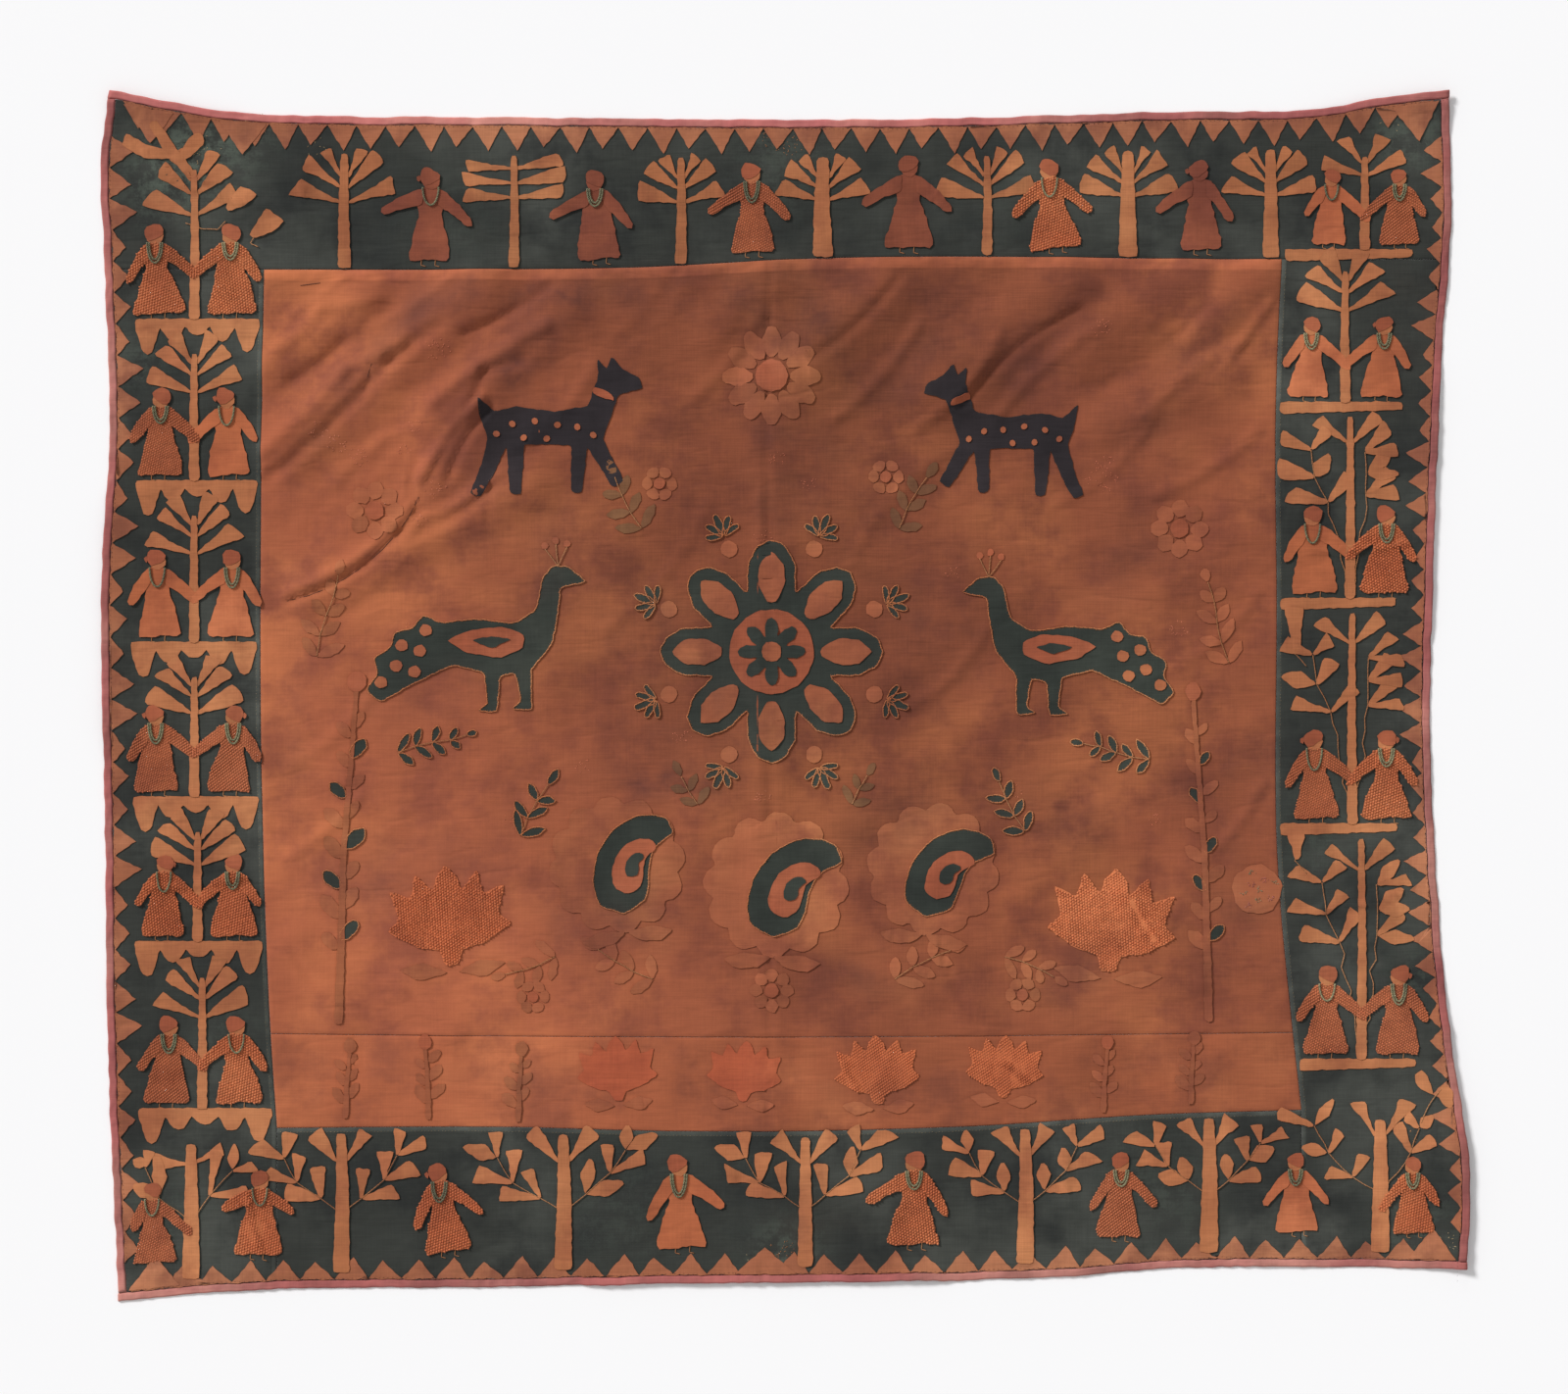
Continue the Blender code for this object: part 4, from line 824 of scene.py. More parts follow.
# Raised yarn. row: between rows, pitch: between lumps along a row, size: length, width and height of a lump,
# sway: how far lumps turn off the row, to one side and the other.
yarnLook = {
    "knit": {
        "row": 0.0022, "pitch": 0.0027, "size": (0.0029, 0.0018, 0.0026), "sway": 26, "unevenness": 0.00009,
    },
    "rib": {
        "row": 0.0023, "pitch": 0.0022, "size": (0.0025, 0.0015, 0.0017), "sway": 12, "unevenness": 0.00007,
    },
}
lumpLook = {
    "tone": {"knit": 0.0, "tunic": 0.13}, "unevenTone": 0.07, "turn": 0.08, "sizes": (0.85, 1.15),
    "heights": (0.9, 1.1), "lift": 0.1, "margin": 0.004,
}


def coverWithYarn(outline, way, level, turn, finish="knit"):
    look = yarnLook[way]
    draw = np.random.default_rng(int(abs(outline[0][0]) * 1e5) + 3)
    middle = outline.mean(0)
    reach = float(np.hypot(*(outline - middle).T).max()) + lumpLook["margin"]
    rows, steps = np.arange(-reach, reach, look["row"]), np.arange(-reach, reach, look["pitch"])
    v, u = np.meshgrid(rows, steps, indexing="ij")
    u = u + 0.5 * look["pitch"] * (np.arange(len(rows))[:, None] % 2)
    cell = (np.arange(len(rows))[:, None] + np.arange(len(steps))[None]) % 2
    u, v, cell = u.ravel(), v.ravel(), cell.ravel()
    angle = math.radians(turn)
    n = len(u)
    x = middle[0] + u * math.cos(angle) - v * math.sin(angle) + draw.normal(0, look["unevenness"], n)
    y = middle[1] + u * math.sin(angle) + v * math.cos(angle) + draw.normal(0, look["unevenness"], n)
    kept = inside(x, y, outline)
    x, y, cell = x[kept], y[kept], cell[kept]
    n = len(x)
    sway = np.radians(look["sway"]) * np.where(cell == 0, 1, -1)
    heading = angle + sway + draw.normal(0, lumpLook["turn"], n)
    length, width, height = look["size"]
    z = clothTop(x, y) + level + patchLook["rise"] + lumpLook["lift"] * height
    grow = draw.uniform(*lumpLook["sizes"], n)
    tall = height * draw.uniform(*lumpLook["heights"], n)
    tone = draw.normal(lumpLook["tone"][finish], lumpLook["unevenTone"], n)
    addStitches("lump", finish, (x, y, z, heading, length * grow, width * grow, tall, tone))


def scatter(name, kind, finish, rows):
    # many small copies of one rounded shape, joined into one piece
    x, y, z, heading, length, width, height, tone = np.concatenate(rows, 1)
    bm = bmesh.new()
    bmesh.ops.create_uvsphere(bm, u_segments=3 if kind == "stitch" else 5, v_segments=2, radius=0.5)
    bm.verts.index_update()
    shape = np.array([vert.co[:] for vert in bm.verts])
    faces = np.array([[vert.index for vert in face.verts] for face in bm.faces])
    bm.free()
    local = shape[None] * np.stack([length, width, height], 1)[:, None]
    cos, sin = np.cos(heading)[:, None], np.sin(heading)[:, None]
    px = x[:, None] + local[..., 0] * cos - local[..., 1] * sin
    py = y[:, None] + local[..., 0] * sin + local[..., 1] * cos
    points = np.stack([px, py, z[:, None] + local[..., 2]], 2).reshape(-1, 3)
    faces = (faces[None] + len(shape) * np.arange(len(x))[:, None, None]).reshape(-1, faces.shape[1])
    mesh = bpy.data.meshes.new(name)
    mesh.from_pydata(points, [], faces)
    addAttribute(mesh, "tone", np.repeat(tone, len(shape)))
    addAttribute(mesh, "soil", 0.5 * soilAt(points[:, 0], points[:, 1]))
    return placeOnCloth(name, mesh, [finish], [])


# Columns: radius, finish, slot, strands, how far apart its rings are, length of a turn
cordKinds = {
    "couchedCords": (0.0006, "rustCord", "rust_patch", 2, 0.0014, 0.0042),
    "necklaceCords": (0.00098, "necklace", "tan_patch", 2, 0.001, 0.0034),
    "threadFeet": (0.00038, "tanThread", "tan_patch", 1, 0.001, 0.0042),
    "threadStems": (0.00052, "tanThread", "tan_patch", 2, 0.0013, 0.0034),
    "tuckThreads": (0.0003, "darkThread", "field", 2, 0.0014, 0.004),
}
# apart and thick are shares of the cord's radius, tones one for each strand
cordLook = {
    "sides": 4, "apart": 0.52, "thick": 0.62, "tones": (0.16, -0.22), "toneWave": (0.12, 0.006, 81),
    "soil": 0.4,
}


def addCords(name, runs):
    # each run is a line over the cloth, its height above it and whether it is closed; two strands lie twisted
    radius, finish, slot, strands, step, lay = cordKinds[name]
    look, sides = cordLook, cordLook["sides"]
    points, faces, tones = [], [], []
    turns = np.arange(sides) * math.tau / sides
    apart, thick = (look["apart"] * radius, look["thick"] * radius) if strands > 1 else (0.0, radius)
    for outline, level, closed in runs:
        x, y, heading = paced(outline, step, closed)
        along = np.arange(len(x)) * step
        z = clothTop(x, y) + level + radius
        n = len(x)
        for strand in range(strands):
            twist = math.tau * along / lay + strand * math.pi
            cx = x - np.sin(heading) * apart * np.cos(twist)
            cy = y + np.cos(heading) * apart * np.cos(twist)
            cz = z + apart * np.sin(twist)
            out = np.cos(turns)[None] * thick
            ring = [cx[:, None] - np.sin(heading)[:, None] * out,
                    cy[:, None] + np.cos(heading)[:, None] * out,
                    cz[:, None] + np.sin(turns)[None] * thick]
            start = sum(len(part) for part in points)
            points.append(np.stack(ring, 2).reshape(-1, 3))
            tones.append(np.full(n * sides, look["tones"][strand] if strands > 1 else 0.0))
            for i in range(n if closed else n - 1):
                here, there = start + i * sides, start + (i + 1) % n * sides
                for k in range(sides):
                    beside = (k + 1) % sides
                    faces.append((here + k, here + beside, there + beside, there + k))
            if not closed:
                faces.append(tuple(range(start, start + sides))[::-1])
                faces.append(tuple(range(start + (n - 1) * sides, start + n * sides)))
    points = np.concatenate(points)
    mesh = bpy.data.meshes.new(name)
    mesh.from_pydata(points, [], faces)
    addAttribute(mesh, "tone", np.concatenate(tones) + swells(points[:, 0], points[:, 1], [look["toneWave"]]))
    addAttribute(mesh, "soil", look["soil"] * soilAt(points[:, 0], points[:, 1]))
    return placeOnCloth(name, mesh, [finish], [])


def layPiece(piece):
    look = patchLook
    mesh = meshFrom(piece["bm"], piece["name"])
    points = readPoints(mesh)
    x, y = points[:, 0], points[:, 1]
    share = {}
    for key in piece["layers"]:
        share[key] = np.empty(len(x), np.float32)
        mesh.attributes[key].data.foreach_get("value", share[key])
    height = look["edgeRise"] + (look["rise"] - look["edgeRise"]) * share["rise"]
    height += look["puff"] * share["rise"] * swells(x, y, look["wrinkles"])
    points[:, 2] = clothTop(x, y) + share["level"] + height
    writePoints(mesh, points)
    addAttribute(mesh, "soil", look["soil"] * soilAt(x, y))
    # darker at each outline: painted shadow of the turned edge, together with dark thread
    shade = share["tone"] + swells(x, y, [look["toneWave"]]) - look["edgeShadowAndThread"] * share["edge"]
    addAttribute(mesh, "tone", shade)
    for edge in piece["edges"]:
        edgeStitches(edge)
    thicken(placeOnCloth(piece["name"], mesh, piece["finishes"], piece["nodes"]),
            look["thickness"])


def placed(outline, x, y, scale=1.0, facing=1, turn=0.0):
    cos, sin = math.cos(math.radians(turn)), math.sin(math.radians(turn))
    points = [(px * scale * facing, py * scale) for px, py in outline]
    return [(x + px * cos - py * sin, y + px * sin + py * cos) for px, py in points]


def flipped(outline, side):
    return [(side * px, py) for px, py in outline]


def mirrored(half, *tip):
    # an outline along +X from its lower half and its tip
    return [*half, *tip, *((px, -py) for px, py in reversed(half))]


def ellipse(x, y, halfWidth, halfHeight, steps=14, start=0.0):
    angles = [start + math.tau * i / steps for i in range(steps)]
    return [(x + halfWidth * math.cos(a), y + halfHeight * math.sin(a)) for a in angles]


# Leaves of the trees. Columns: height on the trunk as a share of the tree, angle above level in degrees,
# bare stem, wedge length, wedge width.
leafKinds = {
    "fan": (
        (0.58, 18, 0.003, 0.037, 0.0145), (0.71, 40, 0.003, 0.033, 0.0135), (0.81, 60, 0.0055, 0.019, 0.011),
    ),
    "comb": ((0.62, 3, 0.002, 0.036, 0.011), (0.75, 5, 0.002, 0.038, 0.011), (0.88, 8, 0.002, 0.035, 0.01)),
    "bay": ((0.7, 26, 0.002, 0.036, 0.014), (0.84, 40, 0.002, 0.03, 0.012)),
    "tall": (
        (0.51, 14, 0.016, 0.034, 0.016), (0.62, 20, 0.029, 0.031, 0.016), (0.735, 27, 0.034, 0.027, 0.015),
        (0.86, 40, 0.002, 0.03, 0.013),
    ),
    "tallRight": (
        (0.51, 40, 0.014, 0.027, 0.011), (0.62, 41, 0.015, 0.026, 0.011), (0.735, 42, 0.015, 0.026, 0.011),
        (0.86, 44, 0.002, 0.027, 0.011),
    ),
    "low": ((0.8, 24, 0.002, 0.032, 0.01),),
    "spray": (
        (0.44, 12, 0.014, 0.034, 0.016), (0.5, 20, 0.04, 0.031, 0.016), (0.62, 24, 0.056, 0.028, 0.015),
    ),
    "west": (
        (0.425, 34, 0.025, 0.024, 0.013), (0.507, 42, 0.046, 0.01, 0.012), (0.83, 4, 0.002, 0.026, 0.014),
    ),
    "westRight": (
        (0.547, 6, 0.0105, 0.034, 0.0125), (0.706, 12, 0.032, 0.021, 0.0125), (0.85, 20, 0.002, 0.024, 0.014),
    ),
    "east": (
        (0.46, 15, 0.018, 0.021, 0.014), (0.614, 17, 0.0406, 0.021, 0.0125),
        (0.757, 20, 0.0563, 0.028, 0.012), (0.88, 62, 0.006, 0.024, 0.012),
    ),
    "eastRight": (
        (0.592, 30, 0.024, 0.02, 0.012), (0.651, 40, 0.04, 0.012, 0.011), (0.88, 54, 0.006, 0.026, 0.014),
    ),
}
# Leaves that only the cloth's own pieces have, in the same columns
moreLeaves = {
    "bay": ((0.93, 60, 0.002, 0.025, 0.012),), "low": ((0.94, 54, 0.002, 0.023, 0.011),),
    "spray": ((0.78, 52, 0.002, 0.031, 0.016),),
}
treeLook = {
    "taper": 0.35, "unevenAngle": 3, "stemHalf": 0.0015, "trunkLevel": 0.0007, "leafLevel": 0.0003,
    "threaded": 0.006, "flare": 1.06, "sway": 0.1, "widths": (0.86, 1.12),
    "fullness": {
        "fan": 1.24, "comb": 1.3, "bay": 1.32, "low": 1.35, "tall": 1.08, "tallRight": 1.34, "spray": 1.04,
        "west": 1.22, "westRight": 1.1, "east": 1.1, "eastRight": 1.15,
    },
    "reach": {
        "fan": 1.08, "comb": 1.08, "bay": 1.08, "low": 1.08, "tall": 1.04, "tallRight": 1.12, "spray": 1.06,
        "west": 1.06, "westRight": 1.02, "east": 1.08, "eastRight": 1.1,
    },
    "tilt": 4.0, "foot": {"tall": 0.03, "spray": 0.36, "west": 0.36, "east": 0.38},
    "pair": {
        "tall": (0.8, 0.98), "tallRight": (1.05, 1.3), "spray": (0.8, 0.98), "west": (1.25, 1.75),
        "westRight": (0.95, 1.25), "east": (1.05, 1.25), "eastRight": (1.3, 1.6),
    },
    "pairTurn": {
        "tall": (98, 122), "spray": (56, 84), "tallRight": (-48, -36), "west": (54, 76),
        "westRight": (66, 90), "east": (92, 112), "eastRight": (78, 98),
    },
    "kites": 0.25,
}
# Runs of thread that carry leaves, each a list of points; trees add theirs
threadStems = [
    [(-0.5346, 0.4222), (-0.52, 0.417), (-0.506, 0.4165), (-0.499, 0.424)],
    [(-0.474, 0.409), (-0.477, 0.404), (-0.47, 0.401)],
]


def leafShape(draw, near, far, width, kite=False):
    # along +X: a wedge cut by hand, or a leaf that is widest near its middle
    if kite:
        middle = near + draw.uniform(0.4, 0.6) * (far - near)
        return [(near, 0.0), (middle, -width * 0.5), (far, -width * 0.12), (far * 0.985, width * 0.1),
                (middle, width * 0.5)]
    stemHalf, skew, bulge = treeLook["stemHalf"], draw.uniform(-0.22, 0.22), draw.uniform(-0.06, 0.08)
    middle = near + 0.5 * (far - near)
    return [(near, -stemHalf), (middle, -width * (0.27 + bulge)), (far * (1.0 + skew * 0.35), -width / 2),
            (far * (0.985 + bulge * 0.5), width * skew * 0.5), (far * (0.97 - skew * 0.35), width / 2),
            (middle, width * (0.27 + bulge)), (near, stemHalf)]


def addTree(piece, x, y, height, trunk, kind, spread=1.0, finish="tree", below=0.0, tone=0.0):
    draw = random.Random(f"tree {x:.3f} {y:.3f}")

    def half(level):
        return trunk / 2 * (1 - treeLook["taper"] * level / height)

    def turned(shape, side, root, tilt, start):
        cos, sin = math.cos(tilt), math.sin(tilt)
        return [(x + side * (start + u * cos - v * sin), y + root + u * sin + v * cos) for u, v in shape]

    for side in (1, -1):
        knots = []
        own = kind + "Right" if side > 0 and kind + "Right" in leafKinds else kind
        fullness, reach = treeLook["fullness"][own], treeLook["reach"][own]
        for share, angle, stem, length, width in leafKinds[own] + moreLeaves.get(kind, ()):
            tilted = side * treeLook["unevenAngle"] + draw.uniform(-1, 1) * treeLook["tilt"]
            tilt = math.radians(angle + tilted)
            root = share * height
            near, far = stem * spread, (stem + length) * spread * reach
            width = width * fullness * draw.uniform(*treeLook["widths"])
            threaded = stem > treeLook["threaded"]
            shape = leafShape(draw, near, far, width, threaded and draw.random() < treeLook["kites"])
            if not threaded:
                stub = -half(root) * 0.5
                shape = [(stub, -treeLook["stemHalf"])] + shape + [(stub, treeLook["stemHalf"])]
            addPatch(piece, turned(shape, side, root, tilt, half(root)), finish, treeLook["leafLevel"],
                     tone + draw.uniform(-0.07, 0.07))
            if threaded:
                knot = turned([(near, 0.0)], side, root, tilt, half(root))[0]
                knots.append(knot)
                # a second leaf springs from the same knot
                size = length * draw.uniform(*treeLook["pair"][own]) * spread
                turn = tilt + math.radians(draw.uniform(*treeLook["pairTurn"][own]))
                shape = leafShape(draw, 0.0, size, width * 0.92, draw.random() < treeLook["kites"])
                leaf = turned(shape, side, knot[1] - y, turn, side * (knot[0] - x))
                level = treeLook["leafLevel"] + 0.0002
                addPatch(piece, leaf, finish, level, tone + draw.uniform(-0.07, 0.09))
        if knots:
            foot = treeLook["foot"][kind] * height
            threadStems.append([(x + side * half(foot) * 0.5, y + foot)] + knots)
    sway = draw.uniform(-treeLook["sway"], treeLook["sway"]) * trunk
    foot, flare, middle = y - below, treeLook["flare"], height * 0.5
    outline = [(x - half(0) * flare, foot), (x + half(0) * flare, foot),
               (x + half(middle) + sway, y + middle), (x + half(height) * 0.9, y + height),
               (x - half(height) * 0.9, y + height), (x - half(middle) + sway, y + middle)]
    addPatch(piece, outline, finish, treeLook["trunkLevel"], tone + draw.uniform(-0.05, 0.05))


# Shares of a figure's height; levels and wobble in metres, lean in degrees, knots and necklaces how often
figureLook = {
    "tunicLevel": 0.0005, "armLevel": 0.001, "headLevel": 0.0008, "turbanLevel": 0.0012, "knotLevel": 0.001,
    "hem": {"dark": 0.248, "plain": 0.252, "knit": 0.282, "rib": 0.262}, "waist": 0.134, "shoulder": 0.15,
    "sleeve": 0.062, "sleeves": (0.88, 1.15), "wrists": (0.042, 0.056), "unevenness": 0.026, "lean": 3,
    "shadeUnderYarn": -0.3, "unevenTone": 0.07, "wobble": 0.00045, "knots": 0.45, "necklaces": 0.6,
    "necklaceHalf": 0.086, "necklaceDrop": (0.19, 0.25), "foot": 0.062,
}
necklaces = []    # U-shaped cords: middle x, shoulder y, half width, drop, and how the tunic is worked
threadFeet = []   # where a figure's feet hang below its hem: x, y, size
yarnPatches = []  # outlines worked over with raised yarn: outline, way, level, turn of the rows


def addFigure(piece, x, y, height, leftArm, rightArm, way, leftReach=0.42, rightReach=0.42, lean=0.0):
    # a plain cut-cloth doll in a flared tunic, with a blank head; sizes are shares of its height
    draw = random.Random(f"figure {x:.3f} {y:.3f}")
    finish = {"dark": "brownTunic", "knit": "knit"}.get(way, "tunic")
    headFinish, faceFinish = ("brownTunic", "brownTunic") if way == "dark" else ("turban", "tree")
    look = figureLook
    hem = look["hem"][way] + draw.uniform(-1, 1) * look["unevenness"]
    waist, shoulder = look["waist"] + draw.uniform(-1, 1) * look["unevenness"], look["shoulder"]
    sideways = draw.uniform(-1, 1) * look["unevenness"]
    lean += draw.uniform(-look["lean"], look["lean"])

    def onFigure(outline):
        return placed([(px * height, py * height) for px, py in outline], x, y, turn=lean)

    def unevenTone():
        return draw.uniform(-look["unevenTone"], look["unevenTone"])

    flare = 0.5 * (waist + hem) + 0.006
    tunic = [(-0.056, 0.804), (0.056, 0.804), (shoulder - 0.016, 0.776), (shoulder, 0.66), (waist, 0.52),
             (flare + sideways, 0.29), (hem + sideways, 0.05), (hem - 0.03, 0.004), (0.08, 0.028),
             (-0.09, 0.01), (-hem + 0.02, 0.002), (-hem + sideways, 0.046), (-flare + sideways, 0.29),
             (-waist, 0.52), (-shoulder, 0.66), (-shoulder + 0.016, 0.776)]
    head = ellipse(0.002, 0.872, 0.098, 0.104)
    tilt, nod = draw.uniform(-0.03, 0.03), draw.uniform(-0.012, 0.012)
    # the turban comes low on one side
    low = draw.choice((-1, 1))
    turban = flipped((
        (-0.092, 0.884 - nod), (-0.046, 0.862), (0.012, 0.822), (0.072, 0.808), (0.108, 0.85 + nod),
        (0.118, 0.935), (0.084, 0.992 + tilt), (0.01, 1.008), (-0.065, 0.988 - tilt), (-0.108, 0.94)), low)
    # a tunic worked over with raised yarn is darker beneath it: painted shade in the gaps between the lumps
    base = look["shadeUnderYarn"] if way in ("knit", "rib") else 0.0
    tone = base + unevenTone()
    body = addPatch(piece, onFigure(tunic), finish, look["tunicLevel"], tone, wobble=look["wobble"])
    arms = []
    for side, angle, reach in ((1, rightArm, rightReach), (-1, leftArm, leftReach)):
        down = math.radians(angle)
        ux, uy = math.cos(down), -math.sin(down)
        wristX, wristY = 0.12 + reach * ux, 0.7 + reach * uy
        sleeve, wrist = look["sleeve"] * draw.uniform(*look["sleeves"]), draw.uniform(*look["wrists"])
        elbowX, elbowY = 0.12 + 0.48 * reach * ux, 0.706 + 0.48 * reach * uy
        points = [(0.07, 0.79), (0.14, 0.774), (elbowX - sleeve * uy, elbowY + sleeve * ux),
                  (wristX - wrist * uy, wristY + wrist * ux), (wristX + 0.05 * ux, wristY + 0.05 * uy),
                  (wristX + wrist * uy, wristY - wrist * ux), (elbowX + sleeve * uy, elbowY - sleeve * ux),
                  (0.08, 0.61)]
        outline = onFigure(flipped(points, side))
        arms.append(addPatch(piece, outline, finish, look["armLevel"], base + unevenTone()))
    addPatch(piece, onFigure(head), faceFinish, look["headLevel"], draw.uniform(-0.04, 0.1))
    addPatch(piece, onFigure(turban), headFinish, look["turbanLevel"], draw.uniform(-0.08, 0.02))
    if draw.random() < look["knots"]:
        knot = flipped(((0.09, 0.89), (0.128, 0.836), (0.166, 0.905), (0.12, 0.945)), low)
        addPatch(piece, onFigure(knot), headFinish, look["knotLevel"], -0.05)
    if way in ("knit", "rib"):
        yarnPatches.append((body, way, look["tunicLevel"], draw.choice((38, -38))))
        for arm in arms:
            yarnPatches.append((arm, way, look["armLevel"], draw.choice((30, -30))))
    if way != "dark" or draw.random() < look["necklaces"]:
        throat, half = onFigure([(0.0, 0.8)])[0], look["necklaceHalf"] * height
        necklaces.append((*throat, half, draw.uniform(*look["necklaceDrop"]) * height, way))
    for side in (-1, 1):
        threadFeet.append((*onFigure([(side * 0.075, 0.01)])[0], look["foot"] * height))


# Trees, figures and bands of the borders, as the CAD places them
rowLook = {
    "topGround": 0.001, "topFoot": 0.006, "topRoom": 0.034, "bottomGround": 0.03, "bottomFoot": 0.001,
    "bottomRoom": 0.005, "topTone": -0.07, "bottomTone": 0.07, "bottomBelow": 0.016,
}
topTrees = (
    (-0.393, 0.011, "fan", 1.0), (-0.242, 0.009, "comb", 1.0), (-0.093, 0.01, "fan", 0.82),
    (0.034, 0.017, "fan", 0.8), (0.18, 0.009, "fan", 0.96), (0.306, 0.016, "fan", 0.87),
    (0.433, 0.014, "fan", 0.84),
)
bottomTrees = (
    (-0.396, 0.014, "spray", 0.88), (-0.198, 0.015, "spray", 1.0), (0.018, 0.013, "spray", 0.92),
    (0.214, 0.015, "spray", 0.84), (0.378, 0.016, "spray", 0.78),
)
# Columns: x, height, left arm, right arm, way it is worked, lean
topFigures = (
    (-0.318, 0.083, 24, 42, "dark", -2), (-0.165, 0.08, 24, 55, "dark", 3), (-0.029, 0.08, 34, 48, "rib", 0),
    (0.109, 0.083, 32, 40, "dark", -3), (0.242, 0.08, 42, 46, "knit", 4), (0.371, 0.08, 34, 58, "dark", 0),
)
bottomFigures = (
    (-0.3, 0.08, 62, 45, "knit", 6), (-0.091, 0.084, 58, 40, "plain", 5), (0.116, 0.084, 30, 60, "knit", 0),
    (0.298, 0.076, 60, 46, "rib", -4), (0.458, 0.071, 48, 53, "plain", 3),
)
# Columns: name, x, trunk, leaf kind, tree height, tone; by figure: offset, height, outer and inner arm, how
# far they reach, and the way it is worked
bottomCorners = (
    (
        "corner_left", -0.53, 0.015, "west", 0.104, 0.14,
        ((-0.033, 0.072, 66, 45, 0.3, 0.48, "rib"), (0.059, 0.076, 32, 30, 0.32, 0.34, "knit")),
    ),
    ("corner_right", 0.531, 0.016, "east", 0.102, 0.07, ((0.0295, 0.069, 58, 52, 0.36, 0.48, "knit"),)),
)
# A sprig over the lower right corner tree, on the teeth, and the thread that carries it
cornerStem = [(0.5675, -0.38), (0.573, -0.367), (0.58, -0.356), (0.585, -0.35)]
cornerSprig = (
    [(0.5789, -0.3564), (0.564, -0.348), (0.5614, -0.337), (0.5679, -0.332), (0.5733, -0.3386)],
    [(0.5815, -0.3564), (0.586, -0.345), (0.596, -0.3512), (0.595, -0.367), (0.589, -0.3658)],
)
# Columns: ground y, trunk x, tree height, figure height, leaf kind, ways of the left and right figure
leftBays = (
    (0.337, -0.527, 0.134, 0.076, "bay", "knit", "knit"),
    (0.193, -0.527, 0.114, 0.074, "bay", "rib", "plain"),
    (0.049, -0.527, 0.114, 0.074, "bay", "plain", "plain"),
    (-0.089, -0.527, 0.108, 0.073, "bay", "rib", "rib"),
    (-0.218, -0.524, 0.099, 0.069, "bay", "knit", "knit"),
    (-0.367, -0.52, 0.118, 0.074, "bay", "rib", "knit"),
)
rightBays = (
    (0.399, 0.517, 0.084, 0.064, "low", "plain", "rib"), (0.263, 0.5, 0.118, 0.068, "bay", "plain", "plain"),
    (0.088, 0.504, 0.163, 0.074, "tall", "plain", "knit"),
    (-0.113, 0.506, 0.189, 0.075, "tall", "rib", "knit"), (-0.323, 0.514, 0.198, 0.075, "tall", "rib", "rib"),
)
bayLook = {
    "trunk": 0.009, "band": 0.016, "lobes": (0.024, 0.011, 0.006, 0.012, 0.022), "grow": 1.06, "strip": 0.009,
    "foot": 0.0045, "under": 0.001, "seamRoom": 0.003, "bandRoom": 0.026, "stripRoom": 0.033, "offset": 0.032,
    "tone": 0.05, "innerArm": 42, "outerArm": 58, "outerReach": 0.36,
}


def armsBy(offset, inner, outer, innerReach, outerReach, way):
    # what a figure at one side of a trunk takes: its left arm, right arm, way and how far they reach
    if offset < 0:
        return outer, inner, way, outerReach, innerReach
    return inner, outer, way, innerReach, outerReach


def addBay(piece, ground, trunkX, treeHeight, figureHeight, kind, *ways):
    look = bayLook
    ground -= look["under"]
    addTree(piece, trunkX, ground, treeHeight, look["trunk"], kind, tone=look["tone"] if trunkX < 0 else 0.0)
    for offset, way in zip((-look["offset"], look["offset"]), ways):
        across = figureHeight * math.cos(math.radians(look["innerArm"]))
        reach = (look["offset"] - 0.12 * figureHeight) / across
        arms = armsBy(offset, look["innerArm"], look["outerArm"], reach, look["outerReach"], way)
        addFigure(piece, trunkX + offset, ground + look["foot"], figureHeight * look["grow"], *arms)


def bandOutline(left, right, top):
    depth, lobes = bayLook["band"], bayLook["lobes"]
    outline = [(left, top), (right, top), (right, top - depth * 0.4)]
    pitch = (right - left) / len(lobes)
    for i, drop in enumerate(reversed(lobes)):
        edge = right - i * pitch
        for share, part in ((0.16, 0.45), (0.3, 0.88), (0.5, 1.0), (0.7, 0.88), (0.84, 0.45)):
            outline.append((edge - share * pitch, top - depth * 0.55 - drop * part))
        outline.append((edge - pitch, top - depth * 0.4))
    return outline


# The upper left tree goes on towards the corner, and two of its leaves lie loose.
cornerBranch = (
    [(-0.532, 0.462), (-0.523, 0.463), (-0.545, 0.492), (-0.56, 0.514), (-0.568, 0.511), (-0.555, 0.488)],
    [(-0.545, 0.486), (-0.57, 0.492), (-0.588, 0.503), (-0.592, 0.492), (-0.572, 0.48), (-0.543, 0.479)],
    [(-0.541, 0.484), (-0.53, 0.5), (-0.521, 0.504), (-0.517, 0.495), (-0.527, 0.484), (-0.537, 0.477)],
    [(-0.5, 0.436), (-0.486, 0.456), (-0.47, 0.448), (-0.478, 0.44), (-0.497, 0.432)],
    [(-0.478, 0.412), (-0.463, 0.436), (-0.446, 0.424), (-0.458, 0.414), (-0.475, 0.408)],
)
